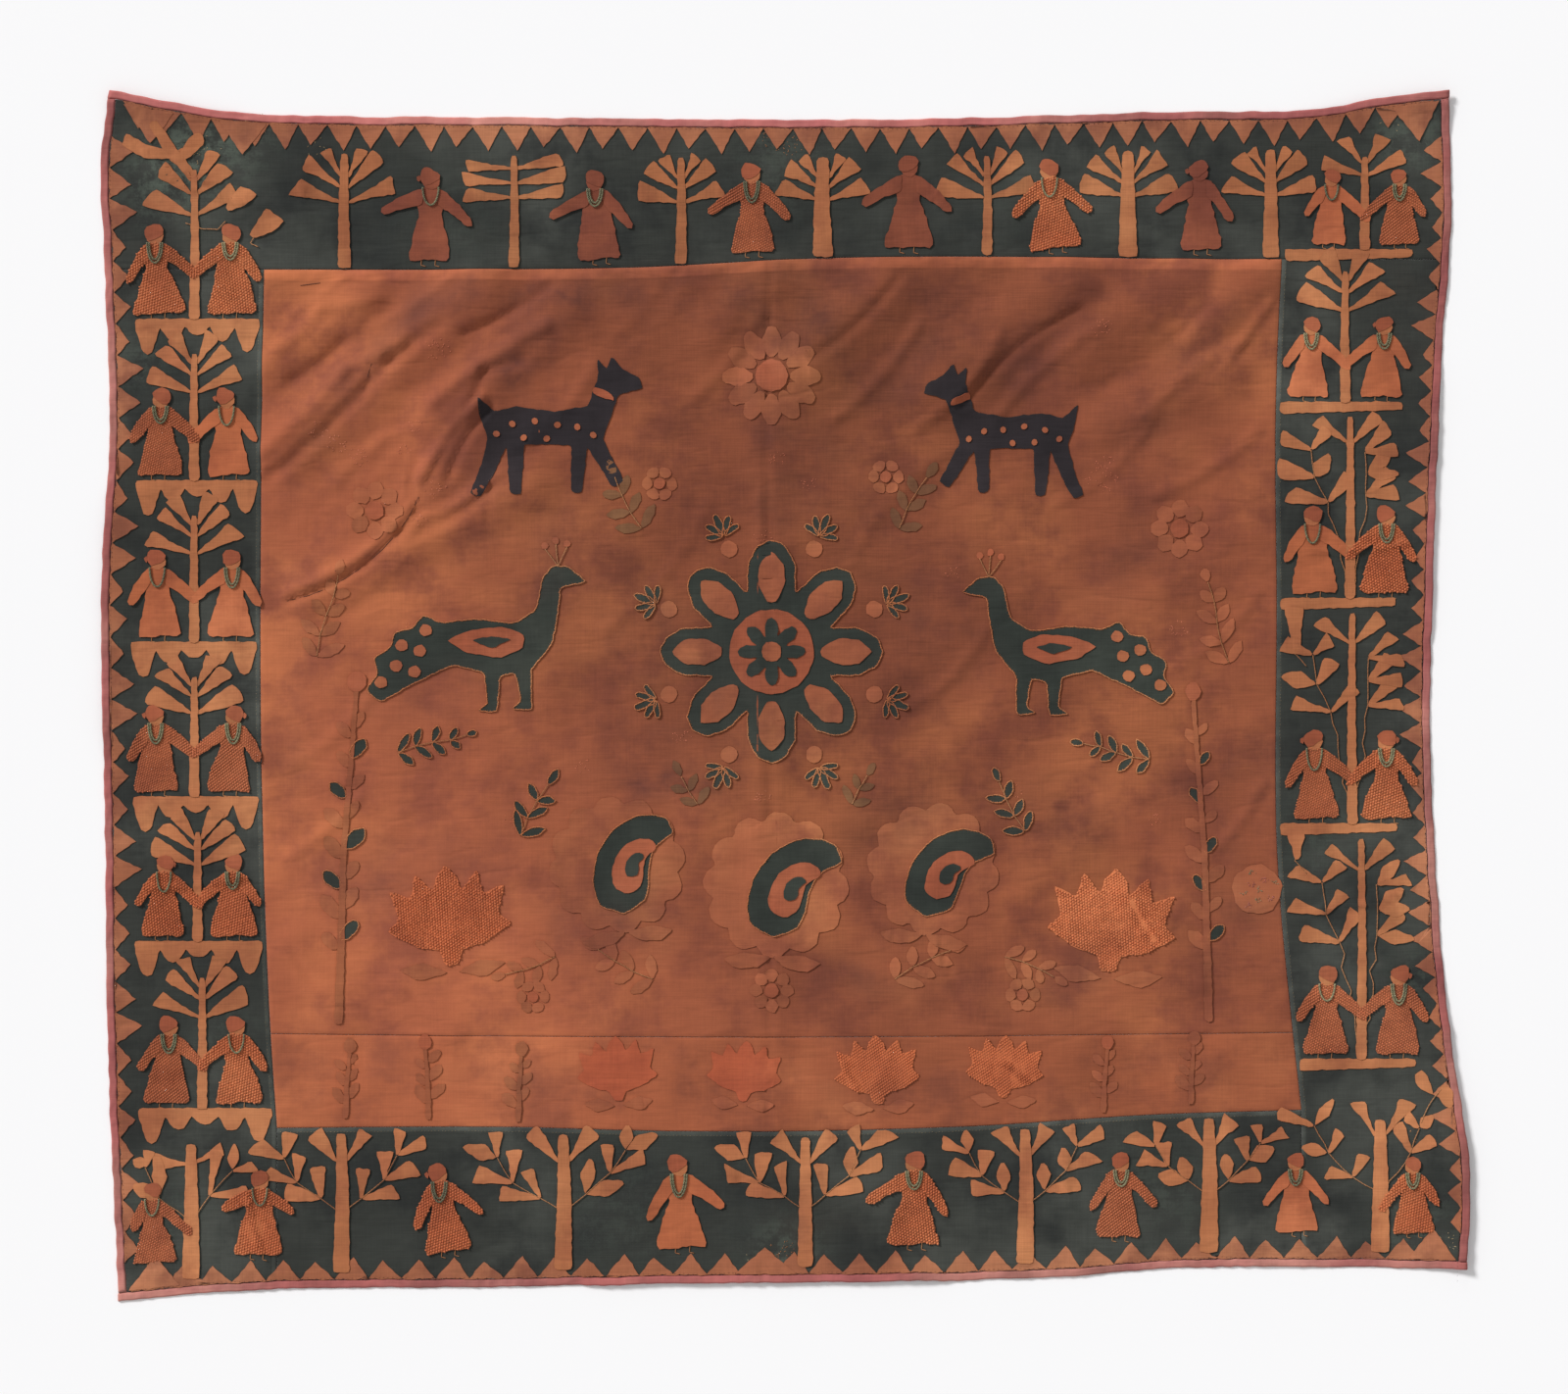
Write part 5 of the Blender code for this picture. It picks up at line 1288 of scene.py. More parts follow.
# Leaves that hang from the left end of a strip, by bay of the right side
hangingLeaves = {
    3: ([(0.445, 0.08), (0.463, 0.08), (0.4605, 0.059), (0.4595, 0.039), (0.454, 0.039), (0.45, 0.058)],),
    4: (
        [
            (0.447, -0.122), (0.4645, -0.122), (0.461, -0.133), (0.459, -0.146), (0.4545, -0.146),
            (0.452, -0.134),
        ],
    ),
}
def makeBays():
    look = bayLook
    for i, (ground, *bay) in enumerate(leftBays, 1):
        piece = startNode(f"bay_left_{i}", "tan_patch")
        left = beside("left", look["bandRoom"])(ground)
        right = beside("fieldLeft", -look["seamRoom"])(ground)
        addPatch(piece, bandOutline(left, right, ground), "tree", 0.0, 0.02)
        addBay(piece, ground, *bay)
        if i == 1:
            for outline in cornerBranch:
                addPatch(piece, outline, "tree", treeLook["trunkLevel"], 0.04)
    for i, (ground, *bay) in enumerate(rightBays, 1):
        piece = startNode(f"bay_right_{i}", "tan_patch")
        left = beside("fieldRight", look["seamRoom"])(ground)
        right = beside("right", -look["stripRoom"])(ground)
        under = ground - look["strip"] * 1.2, ground - look["strip"] * 0.8
        addPatch(piece, [(left, under[0]), (right, under[1]), (right, ground), (left, ground)], "tree")
        for leaf in hangingLeaves.get(i, ()):
            addPatch(piece, leaf, "tree", treeLook["leafLevel"], 0.04)
            threadStems.append([leaf[4], (leaf[4][0] + 0.011, leaf[4][1] - 0.012)])
        addBay(piece, ground, *bay)


def makeRows():
    look = rowLook
    bottomGround = beside("bottom", look["bottomGround"])
    rows = (
        ("top", topTrees, topFigures, beside("fieldTop", look["topGround"]), beside("top", -look["topRoom"]),
         look["topFoot"], 0.0, look["topTone"]),
        ("bottom", bottomTrees, bottomFigures, bottomGround, beside("fieldBottom", -look["bottomRoom"]),
         look["bottomFoot"], look["bottomBelow"], look["bottomTone"]),
    )
    for row, trees, figures, groundLine, headLine, foot, below, tone in rows:
        for i, (x, trunk, kind, spread) in enumerate(trees, 1):
            ground = float(groundLine(x))
            piece = startNode(f"{row}_tree_{i}", "tan_patch")
            addTree(piece, x, ground, float(headLine(x)) - ground, trunk, kind, spread, below=below,
                    tone=tone)
        for i, (x, height, leftArm, rightArm, way, lean) in enumerate(figures, 1):
            piece = startNode(f"{row}_figure_{i}", "rust_patch")
            addFigure(piece, x, float(groundLine(x)) + foot, height, leftArm, rightArm, way, lean=lean)
    for name, x, trunk, kind, height, tone, figures in bottomCorners:
        piece = startNode(name, "tan_patch")
        addTree(piece, x, float(bottomGround(x)), height, trunk, kind, below=look["bottomBelow"], tone=tone)
        if name == "corner_right":
            for outline in cornerSprig:
                addPatch(piece, outline, "tree", treeLook["leafLevel"], 0.05)
            threadStems.append(cornerStem)
        for offset, tall, outer, inner, outerReach, innerReach, way in figures:
            arms = armsBy(offset, inner, outer, innerReach, outerReach, way)
            addFigure(piece, x + offset, float(bottomGround(x + offset)) + look["bottomFoot"], tall, *arms)


# Sawtooth edging. Columns: side, start, end, mean pitch, mean depth.
sawteeth = (
    ("top", -0.59, 0.578, 0.026, 0.0215), ("bottom", -0.584, 0.596, 0.03, 0.018),
    ("left", -0.505, 0.5, 0.028, 0.0215), ("right", -0.478, 0.5, 0.0225, 0.019),
)
toothLook = {
    "uneven": 0.13, "base": 0.0004, "short": {"left": 0.0135, "right": 0.011}, "cornerReach": -0.4,
    "figureFrom": -0.03, "figureTo": 0.85, "backStep": 0.03,
}
# Larger triangles towards the corners
cornerTeeth = {
    "top": (
        [(-0.59, 0.528), (-0.545, 0.52), (-0.566, 0.493)], [(0.541, 0.525), (0.583, 0.531), (0.566, 0.495)],
        [(-0.505, 0.514), (-0.462, 0.511), (-0.484, 0.483)],
    ),
    "bottom": (
        [(-0.586, -0.53), (-0.54, -0.525), (-0.562, -0.499)],
        [(0.556, -0.501), (0.598, -0.502), (0.578, -0.474)],
        [(-0.045, -0.515), (0.01, -0.515), (-0.018, -0.491)],
    ),
}


def sidePoint(side, along, inset):
    if side in ("top", "bottom"):
        return along, float(lines[side](along)) + (-inset if side == "top" else inset)
    return float(lines[side](along)) + (inset if side == "left" else -inset), along


def besideFigures(side, place):
    look = toothLook
    bays = {"left": leftBays, "right": rightBays}.get(side, ())
    return place < look["cornerReach"] or any(
        look["figureFrom"] < place - ground < look["figureTo"] * figureHeight
        for ground, _, _, figureHeight, *_ in bays)


def makeSawteeth():
    look = toothLook
    base = bindingLook["width"] + seamLook["gap"]
    for side, start, end, pitch, depth in sawteeth:
        count = round((end - start) / pitch)
        step = (end - start) / count
        outline = [sidePoint(side, start, base)]
        for i in range(count):
            wave = look["uneven"] * math.sin(2.4 * i + len(side))
            valley = start + i * step
            tip = valley + step * (0.5 + 0.6 * wave)
            reach = look["short"][side] if side in look["short"] and besideFigures(side, tip) else depth
            if i:
                outline.append(sidePoint(side, valley, base + look["base"]))
            outline.append(sidePoint(side, tip, base + reach * (1 + wave)))
        outline.append(sidePoint(side, end, base))
        back = np.arange(end - look["backStep"], start, -look["backStep"])
        outline += [sidePoint(side, place, base) for place in back]
        piece = startNode(f"sawtooth_{side}", "tan_patch")
        addPatch(piece, outline, "tooth", wobble=0.00035, soft=0.02)
        for shape in cornerTeeth.get(side, ()):
            addPatch(piece, shape, "tooth", 0.0004, 0.05, soft=0.06)


def makeGrounds():
    under, over = -seamLook["gap"] / 2, seamLook["gap"] / 2
    width = bindingLook["width"]
    inner = width + seamLook["gap"]
    bottom, top = beside("bottom", inner), beside("top", -inner)
    left, right = beside("left", inner), beside("right", -inner)
    grounds = (
        ("field_panel", "field", beside("piecing", over), beside("fieldTop", under),
         beside("fieldLeft", over),
         beside("fieldRight", under), {"high": seamLook["fieldTop"]}),
        ("field_strip", "strip", beside("fieldBottom", over), beside("piecing", under),
         beside("fieldLeft", over),
         beside("fieldRight", under), {}),
        ("border_top", "border", beside("fieldTop", over), top, left, right, {}),
        ("border_left", "border", bottom, beside("fieldTop", under), left, beside("fieldLeft", under),
         {"right": seamLook["besideField"]}),
        ("border_right", "border", bottom, beside("fieldTop", under), beside("fieldRight", over), right,
         {"left": seamLook["besideField"]}),
        ("border_bottom", "border", bottom, beside("fieldBottom", under), beside("fieldLeft", over),
         beside("fieldRight", under), {"high": seamLook["besideField"]}),
    )
    sheets = [addSheet(*row) for row in grounds]
    addBinding("binding_top", beside("top", -width), lines["top"], lines["left"], lines["right"], False)
    addBinding("binding_bottom", lines["bottom"], beside("bottom", width), lines["left"], lines["right"],
               False)
    addBinding("binding_left", bottom, top, lines["left"], beside("left", width), True)
    addBinding("binding_right", bottom, top, beside("right", -width), lines["right"], True)
    return sheets


# Motifs of the field. Columns: CAD node, drawing, x, y, scale, facing, turn in degrees.
motifs = (
    ("rosette", "rosette", -0.012, 0.04, 1.0, 1, 0), ("peacock_left", "peacock", -0.262, 0.05, 1.0, 1, 3),
    ("peacock_right", "peacock", 0.24, 0.044, 0.96, -1, -2), ("deer_left", "deer", -0.205, 0.236, 1.0, 1, 2),
    ("deer_right", "deer", 0.196, 0.232, 0.94, -1, -3), ("paisley_1", "paisley", -0.15, -0.15, 1.0, 1, 8),
    ("paisley_2", "paisley", -0.008, -0.168, 1.06, 1, -3),
    ("paisley_3", "paisley", 0.132, -0.154, 0.97, 1, -8), ("lotus_left", "lotus", -0.3, -0.196, 1.0, 1, 4),
    ("lotus_right", "lotus", 0.292, -0.2, 1.04, 1, -5),
)

# Outlines of the birds and animals, in metres about each one's middle
peacockLine = (
    (0.088, 0.048), (0.072, 0.062), (0.058, 0.064), (0.048, 0.052), (0.042, 0.026), (0.022, 0.014),
    (-0.014, 0.02), (-0.044, 0.018), (-0.06, 0.026), (-0.07, 0.014), (-0.086, 0.012), (-0.09, -0.002),
    (-0.106, -0.01), (-0.102, -0.024), (-0.114, -0.038), (-0.102, -0.05), (-0.074, -0.036), (-0.036, -0.02),
    (-0.008, -0.028), (-0.006, -0.056), (-0.016, -0.062), (0.002, -0.064), (0.006, -0.032), (0.02, -0.03),
    (0.024, -0.056), (0.014, -0.062), (0.033, -0.064), (0.034, -0.028), (0.054, -0.006), (0.06, 0.018),
    (0.064, 0.044),
)
deerLine = (
    (0.08, 0.036), (0.076, 0.046), (0.062, 0.054), (0.052, 0.066), (0.048, 0.054), (0.04, 0.064),
    (0.04, 0.048), (0.03, 0.022), (0.0, 0.018), (-0.034, 0.024), (-0.054, 0.02), (-0.068, 0.034),
    (-0.066, 0.014), (-0.06, -0.004), (-0.068, -0.03), (-0.078, -0.052), (-0.068, -0.056), (-0.054, -0.032),
    (-0.044, -0.01), (-0.042, -0.054), (-0.032, -0.055), (-0.028, -0.01), (0.014, -0.012), (0.012, -0.054),
    (0.022, -0.055), (0.028, -0.014), (0.05, -0.052), (0.06, -0.046), (0.042, -0.008), (0.05, 0.012),
    (0.058, 0.032),
)
lotusHalf = (
    (0.0, 0.046), (0.01, 0.034), (0.012, 0.022), (0.028, 0.04), (0.032, 0.018), (0.052, 0.026), (0.044, 0.0),
    (0.056, -0.01), (0.03, -0.026), (0.01, -0.03), (0.006, -0.044),
)
lotusLine = (*lotusHalf, *((-px, py) for px, py in reversed(lotusHalf) if px))
lotusLeaf = ((0.004, -0.05), (0.026, -0.04), (0.048, -0.044), (0.03, -0.056))
stripLeaf = ((0.004, -0.05), (0.026, -0.038), (0.048, -0.044), (0.03, -0.058))
peacockParts = {
    "wing": (
        (0.03, 0.004), (0.01, 0.012), (-0.02, 0.01), (-0.04, 0.002), (-0.022, -0.01), (0.008, -0.016),
        (0.028, -0.008),
    ),
    "heart": ((0.018, 0.0), (0.0, 0.004), (-0.018, 0.001), (0.0, -0.007)),
    "eyes": (
        (-0.058, 0.012), (-0.064, -0.006), (-0.08, 0.0), (-0.086, -0.018), (-0.1, -0.032), (-0.07, -0.024),
    ),
    "crest": ((0.052, 0.082), (0.062, 0.086), (0.072, 0.083)), "crown": (0.063, 0.063),
}
deerParts = {
    "spots": (
        (0.02, 0.004), (0.002, 0.006), (-0.018, 0.01), (-0.038, 0.008), (-0.008, -0.006), (-0.028, -0.004),
        (0.034, -0.004), (-0.052, 0.0),
    ),
    "collar": ((0.036, 0.04), (0.052, 0.032), (0.054, 0.025), (0.034, 0.033)),
}
paisleyLeaf = ((0.0, -0.06), (0.012, -0.07), (0.03, -0.072), (0.042, -0.064), (0.024, -0.058))
motifLevels = {"second": 0.0009, "third": 0.0016}
# Drawings that are mirrored about +X are given by their lower half and their tip.
rosetteLook = {
    "radius": 0.1, "petals": 8, "waist": 0.56, "steps": 6, "discs": 0.008, "discRing": 0.0992, "ring": 0.124,
    "fan": (-76, -38, 0, 38, 76), "petal": ((0.044, -0.004), (0.06, -0.012), (0.078, -0.011)),
    "tip": (0.09, 0.0), "leaf": ((0.0, -0.0022), (0.01, -0.0034), (0.019, -0.003)), "leafTip": (0.022, 0.0),
}
paisleyLook = {"length": 0.106, "width": 0.05, "curl": 2.3, "steps": 11, "inner": 0.56, "heart": 0.45}


def rosetteLine(radius, waist, petals):
    count = petals * rosetteLook["steps"]
    points = []
    for i in range(count):
        angle = math.tau * i / count
        reach = radius * (waist + (1 - waist) * abs(math.cos(petals / 2 * angle)) ** 0.8)
        points.append((reach * math.cos(angle), reach * math.sin(angle)))
    return points


def paisleyLine():
    length, steps = paisleyLook["length"], paisleyLook["steps"]
    stride = length / steps
    x, y = 0.0, -0.42 * length
    left, right = [], []
    for i in range(steps + 1):
        share = i / steps
        heading = paisleyLook["curl"] * share ** 1.8
        half = paisleyLook["width"] / 2 * math.sqrt(max(0.0, math.sin(math.pi * share ** 0.62)))
        left.append((x - half * math.cos(heading), y + half * math.sin(heading)))
        right.append((x + half * math.cos(heading), y - half * math.sin(heading)))
        x += stride * math.sin(heading)
        y += stride * math.cos(heading)
    return right + left[-2:0:-1]


def shrunk(outline, share, down=0.0):
    points = np.array(outline)
    middle = points.mean(0)
    return [tuple(p) for p in middle + (points - middle) * share - np.array((0.0, down))]


def drawRosette(put):
    look, second, third = rosetteLook, motifLevels["second"], motifLevels["third"]
    petals, ring = look["petals"], look["discRing"]
    put(rosetteLine(look["radius"], look["waist"], petals), "green", sewn="cord")
    for i in range(petals):
        petal = mirrored(look["petal"], look["tip"])
        put(placed(petal, 0, 0, turn=360 * i / petals), "tonal", second, "dark")
        angle = math.tau * i / petals + math.pi / petals
        disc = ellipse(ring * math.cos(angle), ring * math.sin(angle), look["discs"], look["discs"], 12)
        put(disc, "tonal", 0.0, "dark", 0.05)
    put(ellipse(0, 0, 0.038, 0.038, 24), "turban", second, "dark")
    put(rosetteLine(0.031, 0.42, 8), "green", third)
    put(ellipse(0, 0, 0.0095, 0.0095, 12), "tonal", third + 0.0006, "dark")
    for i in range(petals):
        for j, spray in enumerate(look["fan"]):
            leaf = placed(mirrored(look["leaf"], look["leafTip"]), look["ring"] - 0.012, 0.0,
                          1.0 - 0.1 * abs(j - 2),
                          turn=spray)
            put(placed(leaf, 0, 0, turn=360 * (i + 0.5) / petals), "green", 0.0001 * j, "cord")


def drawPeacock(put):
    look, second = peacockParts, motifLevels["second"]
    put(peacockLine, "green", sewn="cord")
    put(look["wing"], "turban", second, "dark")
    put(look["heart"], "green", motifLevels["third"])
    for x, y in look["eyes"]:
        put(ellipse(x, y, 0.0062, 0.0058, 10), "tonal", second, "dark", 0.08)
    for x, y in look["crest"]:
        put(ellipse(x, y, 0.0036, 0.004, 8), "turban", 0.0, "dark")
    return [[look["crown"], (x, y - 0.003)] for x, y in look["crest"]]


def drawDeer(put):
    put(deerLine, "black", sewn="whip")
    for x, y in deerParts["spots"]:
        put(ellipse(x, y, 0.0034, 0.0034, 8), "tonal", motifLevels["second"], "dark", 0.1)
    put(deerParts["collar"], "turban", motifLevels["second"], "dark")


def drawPaisley(put):
    line = paisleyLine()
    put(rosetteLine(0.062, 0.86, 12), "tonal", 0.0, "dark", 0.04)
    put(line, "green", 0.0005, sewn="cord")
    inner = shrunk(line, paisleyLook["inner"], 0.003)
    put(inner, "turban", motifLevels["second"] + 0.0004, "dark")
    put(shrunk(inner, paisleyLook["heart"]), "green", motifLevels["third"] + 0.0004)
    for side in (-1, 1):
        put(flipped(paisleyLeaf, side), "tonal", 0.0003, "dark", -0.05)


def drawLotus(put):
    coverWithYarn(put(lotusLine, "knit"), "knit", 0.0, 35)
    for side in (-1, 1):
        put(flipped(lotusLeaf, side), "tonal", 0.0, "dark")


drawings = {
    "rosette": (drawRosette, "green_patch"), "peacock": (drawPeacock, "green_patch"),
    "deer": (drawDeer, "black_patch"), "paisley": (drawPaisley, "green_patch"),
    "lotus": (drawLotus, "raised_patch"),
}


def makeMotifs():
    for node, drawing, *place in motifs:
        draw, slot = drawings[drawing]
        piece = startNode(node, slot)

        def put(outline, finish, level=0.0, sewn="own", tone=0.0):
            return addPatch(piece, placed(outline, *place), finish, level, tone, sewn)

        for stem in draw(put) or ():
            threadStems.append(placed(stem, *place))


# Plants in the field's own colours. Columns: x and y of the foot, height, lean, leaves on each side, length
# of a leaf, finish of the bud
plants = (
    (-0.398, -0.292, 0.3, 0.016, 8, 0.03, "turban"), (0.378, -0.29, 0.29, -0.014, 8, 0.026, "turban"),
    (-0.392, -0.377, 0.062, 0.004, 3, 0.021, "tonal"), (-0.318, -0.378, 0.066, -0.003, 3, 0.022, "turban"),
    (-0.238, -0.38, 0.062, 0.003, 3, 0.021, "tonal"), (0.284, -0.372, 0.06, 0.004, 3, 0.02, "turban"),
    (0.362, -0.364, 0.056, 0.003, 3, 0.02, "tonal"),
)
# Plants over tallFrom have a thicker stem and some green leaves.
plantLook = {
    "tallFrom": 0.1, "trunk": 0.0038, "lowTrunk": 0.0028, "first": 0.22, "span": 0.72, "later": 0.3,
    "angles": (38, 58), "sizes": (0.85, 1.15), "shrink": 0.35, "unevenTone": 0.1, "bud": 0.3,
}
# Leaf sprays. Columns: x and y of the foot, heading, pairs of leaves, their length and width, finish
sprays = (
    (-0.236, -0.124, 62, 3, 0.024, 0.0085, "green"), (0.214, -0.12, 118, 3, 0.023, 0.0085, "green"),
    (-0.345, -0.05, 14, 4, 0.022, 0.008, "green"), (0.325, -0.056, 166, 4, 0.021, 0.008, "green"),
    (-0.128, 0.15, 118, 3, 0.024, 0.01, "olive"), (0.102, 0.15, 62, 3, 0.024, 0.01, "olive"),
    (-0.118, -0.252, 152, 3, 0.026, 0.011, "tonal"), (0.098, -0.252, 28, 3, 0.026, 0.011, "tonal"),
    (-0.418, 0.036, 74, 4, 0.026, 0.011, "tonal"), (0.396, 0.03, 104, 4, 0.026, 0.011, "tonal"),
    (-0.078, -0.096, 118, 2, 0.02, 0.0085, "olive"), (0.06, -0.096, 60, 2, 0.02, 0.0085, "olive"),
    (-0.205, -0.232, 200, 3, 0.022, 0.0095, "tonal"), (0.196, -0.232, -22, 3, 0.022, 0.0095, "tonal"),
)
# Small lotus flowers on the strip below the field. Columns: x, y, scale, turn, finish.
stripFlowers = (
    (-0.15, -0.332, 0.66, 3, "redCloth"), (-0.036, -0.334, 0.62, -4, "redCloth"),
    (0.082, -0.333, 0.7, 2, "knit"), (0.196, -0.33, 0.64, -3, "knit"),
)
printedPatch = {"x": 0.421, "y": -0.172, "radius": 0.023, "flowers": 9}
# Small roundels of petals. Columns: x, y, radius, petals.
roundels = (
    (-0.012, 0.286, 0.044, 12), (-0.366, 0.166, 0.026, 8), (0.352, 0.15, 0.026, 8), (-0.012, -0.262, 0.02, 8),
    (-0.225, -0.268, 0.015, 6), (0.212, -0.266, 0.016, 6), (0.09, 0.196, 0.016, 6), (-0.112, 0.19, 0.016, 6),
)
# Embroidered bursts. Columns: x, y, reach, stitches.
bursts = (
    (-0.4165, 0.238, 0.009, 16), (-0.399, 0.226, 0.01, 22), (-0.381, 0.214, 0.01, 20),
    (-0.31, 0.31, 0.013, 26), (-0.33, 0.242, 0.008, 12), (-0.34, 0.22, 0.007, 10), (-0.311, 0.184, 0.01, 20),
    (-0.326, 0.158, 0.007, 12), (-0.007, 0.2125, 0.008, 14), (-0.019, 0.142, 0.01, 22),
    (-0.01, 0.118, 0.008, 14), (0.283, 0.328, 0.01, 22), (0.283, 0.194, 0.015, 36), (0.286, 0.208, 0.009, 16),
    (0.022, 0.19, 0.008, 12), (-0.092, -0.036, 0.009, 20), (0.15, 0.11, 0.007, 12),
    (-0.18, -0.062, 0.008, 14), (0.352, 0.06, 0.009, 18), (-0.34, 0.06, 0.008, 14), (-0.02, -0.09, 0.008, 18),
    (0.205, -0.085, 0.008, 14), (-0.245, -0.11, 0.007, 12), (0.33, -0.11, 0.007, 12),
)


def addPlant(piece, x, y, height, lean, leaves, length, budFinish):
    look = plantLook
    draw = random.Random(f"plant {x:.3f}")
    tall = height > look["tallFrom"]
    for side in (1, -1):
        for i in range(leaves):
            share = look["first"] + look["span"] * (i + (look["later"] if side > 0 else 0.0)) / leaves
            angle = side * (90 - draw.uniform(*look["angles"]))
            size = length * (1 - look["shrink"] * share) * draw.uniform(*look["sizes"])
            half = ((0.25 * size, -0.2 * size), (0.7 * size, -0.24 * size))
            leaf = placed([(0.0, 0.0), *mirrored(half, (size, 0.0))], x + lean * share ** 2,
                          y + share * height,
                          turn=90 - angle)
            finish, sewn = ("green", "cord") if tall and (i * 2 + (side > 0)) % 3 == 1 else ("tonal", "dark")
            addPatch(piece, leaf, finish, 0.0, draw.uniform(-look["unevenTone"], look["unevenTone"]), sewn)
    trunk, middle, top = look["trunk" if tall else "lowTrunk"], y + height * 0.5, y + height
    stem = [(x - trunk, y), (x + trunk, y), (x + trunk * 0.7 + lean * 0.25, middle),
            (x + trunk * 0.5 + lean, top),
            (x - trunk * 0.5 + lean, top), (x - trunk * 0.7 + lean * 0.25, middle)]
    addPatch(piece, stem, "tonal", 0.0005, -0.04, "dark")
    bud = length * look["bud"]
    addPatch(piece, ellipse(x + lean, top + bud * 0.6, bud, bud * 1.15, 10), budFinish, 0.0006, 0.0, "dark")


def addRoundel(piece, x, y, radius, petals):
    draw = random.Random(f"roundel {x:.3f} {y:.3f}")
    width = 0.85 * math.pi * radius / petals
    half = ((0.36 * radius, -width * 0.3), (0.7 * radius, -width), (radius, -width * 0.4))
    for i in range(petals):
        turn = 360 * (i + draw.uniform(-0.06, 0.06)) / petals
        petal = placed(mirrored(half), x, y, turn=turn)
        addPatch(piece, petal, "tonal", 0.0, draw.uniform(-0.12, 0.12), "dark")
    addPatch(piece, ellipse(x, y, 0.34 * radius, 0.34 * radius, 12), "turban", 0.0005, 0.0, "dark")


# pace is the way between two pairs as a share of a leaf
sprayLook = {"pace": 0.72, "bend": 7, "angles": (38, 62), "sizes": (0.85, 1.12), "shrink": 0.1}


def addSpray(piece, x, y, heading, pairs, length, width, finish):
    look = sprayLook
    draw = random.Random(f"spray {x:.3f} {y:.3f}")
    pace = length * look["pace"]
    stem = []
    for i in range(pairs + 1):
        bend = heading + look["bend"] * math.sin(1.7 * i)
        if i:
            x, y = x + pace * math.cos(math.radians(bend)), y + pace * math.sin(math.radians(bend))
        stem.append((x, y))
        for side in (1, -1) if i < pairs else (0,):
            turn = bend + side * draw.uniform(*look["angles"])
            size = length * draw.uniform(*look["sizes"]) * (1 - look["shrink"] * i)
            leaf = [(0.0, -0.0008), (0.3 * size, -0.42 * width), (0.66 * size, -0.46 * width), (size, 0.0),
                    (0.62 * size, 0.48 * width), (0.28 * size, 0.4 * width), (0.0, 0.0008)]
            addPatch(piece, placed(leaf, x, y, turn=turn), finish, 0.0, draw.uniform(-0.08, 0.1),
                     "cord" if finish == "green" else "dark")
    threadStems.append(stem)


def makeTonalWork():
    piece = startPiece("tonalPlants", [], "field")
    for row in plants:
        addPlant(piece, *row)
    piece = startPiece("tonalRoundels", [], "field")
    for row in roundels:
        addRoundel(piece, *row)
    look = printedPatch
    outline = placed(rosetteLine(look["radius"], 0.9, 5), look["x"], look["y"], turn=20)
    addPatch(piece, outline, "tonal", 0.0, 0.16, "dark", wobble=0.0006)
    piece = startPiece("leafSprays", [], "field")
    for row in sprays:
        addSpray(piece, *row)
    for x, y, scale, turn, finish in stripFlowers:
        outline = addPatch(piece, placed(lotusLine, x, y, scale, turn=turn), finish, sewn="dark")
        if finish == "knit":
            coverWithYarn(outline, "rib", 0.0, 35)
        for side in (-1, 1):
            leaf = placed(flipped(stripLeaf, side), x, y, scale, turn=turn)
            addPatch(piece, leaf, "tonal", 0.0, 0.06, "dark")


burstLook = {
    "flatness": 0.8, "turn": 0.5, "lengths": (0.0014, 0.0034), "width": 0.00072, "height": 0.00065,
    "tone": 0.12, "unevenTone": 0.15,
}


def radiating(x, y, reach, count, finish, seed, level=0.0001):
    look = burstLook
    draw = np.random.default_rng(seed)
    angle = draw.uniform(0, math.tau, count)
    out = reach * np.sqrt(draw.uniform(0.02, 1.0, count))
    px, py = x + out * np.cos(angle), y + look["flatness"] * out * np.sin(angle)
    rows = (px, py, clothTop(px, py) + level, angle + draw.normal(0, look["turn"], count),
            draw.uniform(*look["lengths"], count), np.full(count, look["width"]),
            np.full(count, look["height"]),
            draw.normal(look["tone"], look["unevenTone"], count))
    addStitches("stitch", finish, rows)


# Rows of stitches. Columns: thread, distance apart, length, width, height over the cloth, tone.
rowStitches = {
    "binding": ("darkThread", 0.004, 0.0018, 0.00042, 0.0009, 0.45),
    "field": ("paleThread", 0.003, 0.0019, 0.0004, 0.0003, -0.2),
    "piecing": ("rustCord", 0.0032, 0.0018, 0.0004, 0.0001, -0.2),
}
rowUneven = {"wander": 0.0002, "turn": 0.1, "lengths": (0.7, 1.2), "tone": 0.1, "height": 0.00045}
# Where they run. Columns: line, how far beside it, start, end, points of the line, kind of row, seed.
stitchLines = (
    ("top", -0.0087, -0.59, 0.59, 90, "binding", 300), ("bottom", 0.0087, -0.59, 0.59, 90, "binding", 301),
    ("left", 0.0087, -0.52, 0.52, 90, "binding", 302), ("right", -0.0087, -0.52, 0.52, 90, "binding", 303),
    ("fieldBottom", -0.0036, -0.45, 0.455, 70, "field", 310),
    ("fieldLeft", -0.0036, -0.375, 0.38, 70, "field", 311),
    ("fieldRight", 0.0036, -0.375, 0.38, 70, "field", 312),
    ("piecing", 0.0008, -0.45, 0.455, 70, "piecing", 313),
)


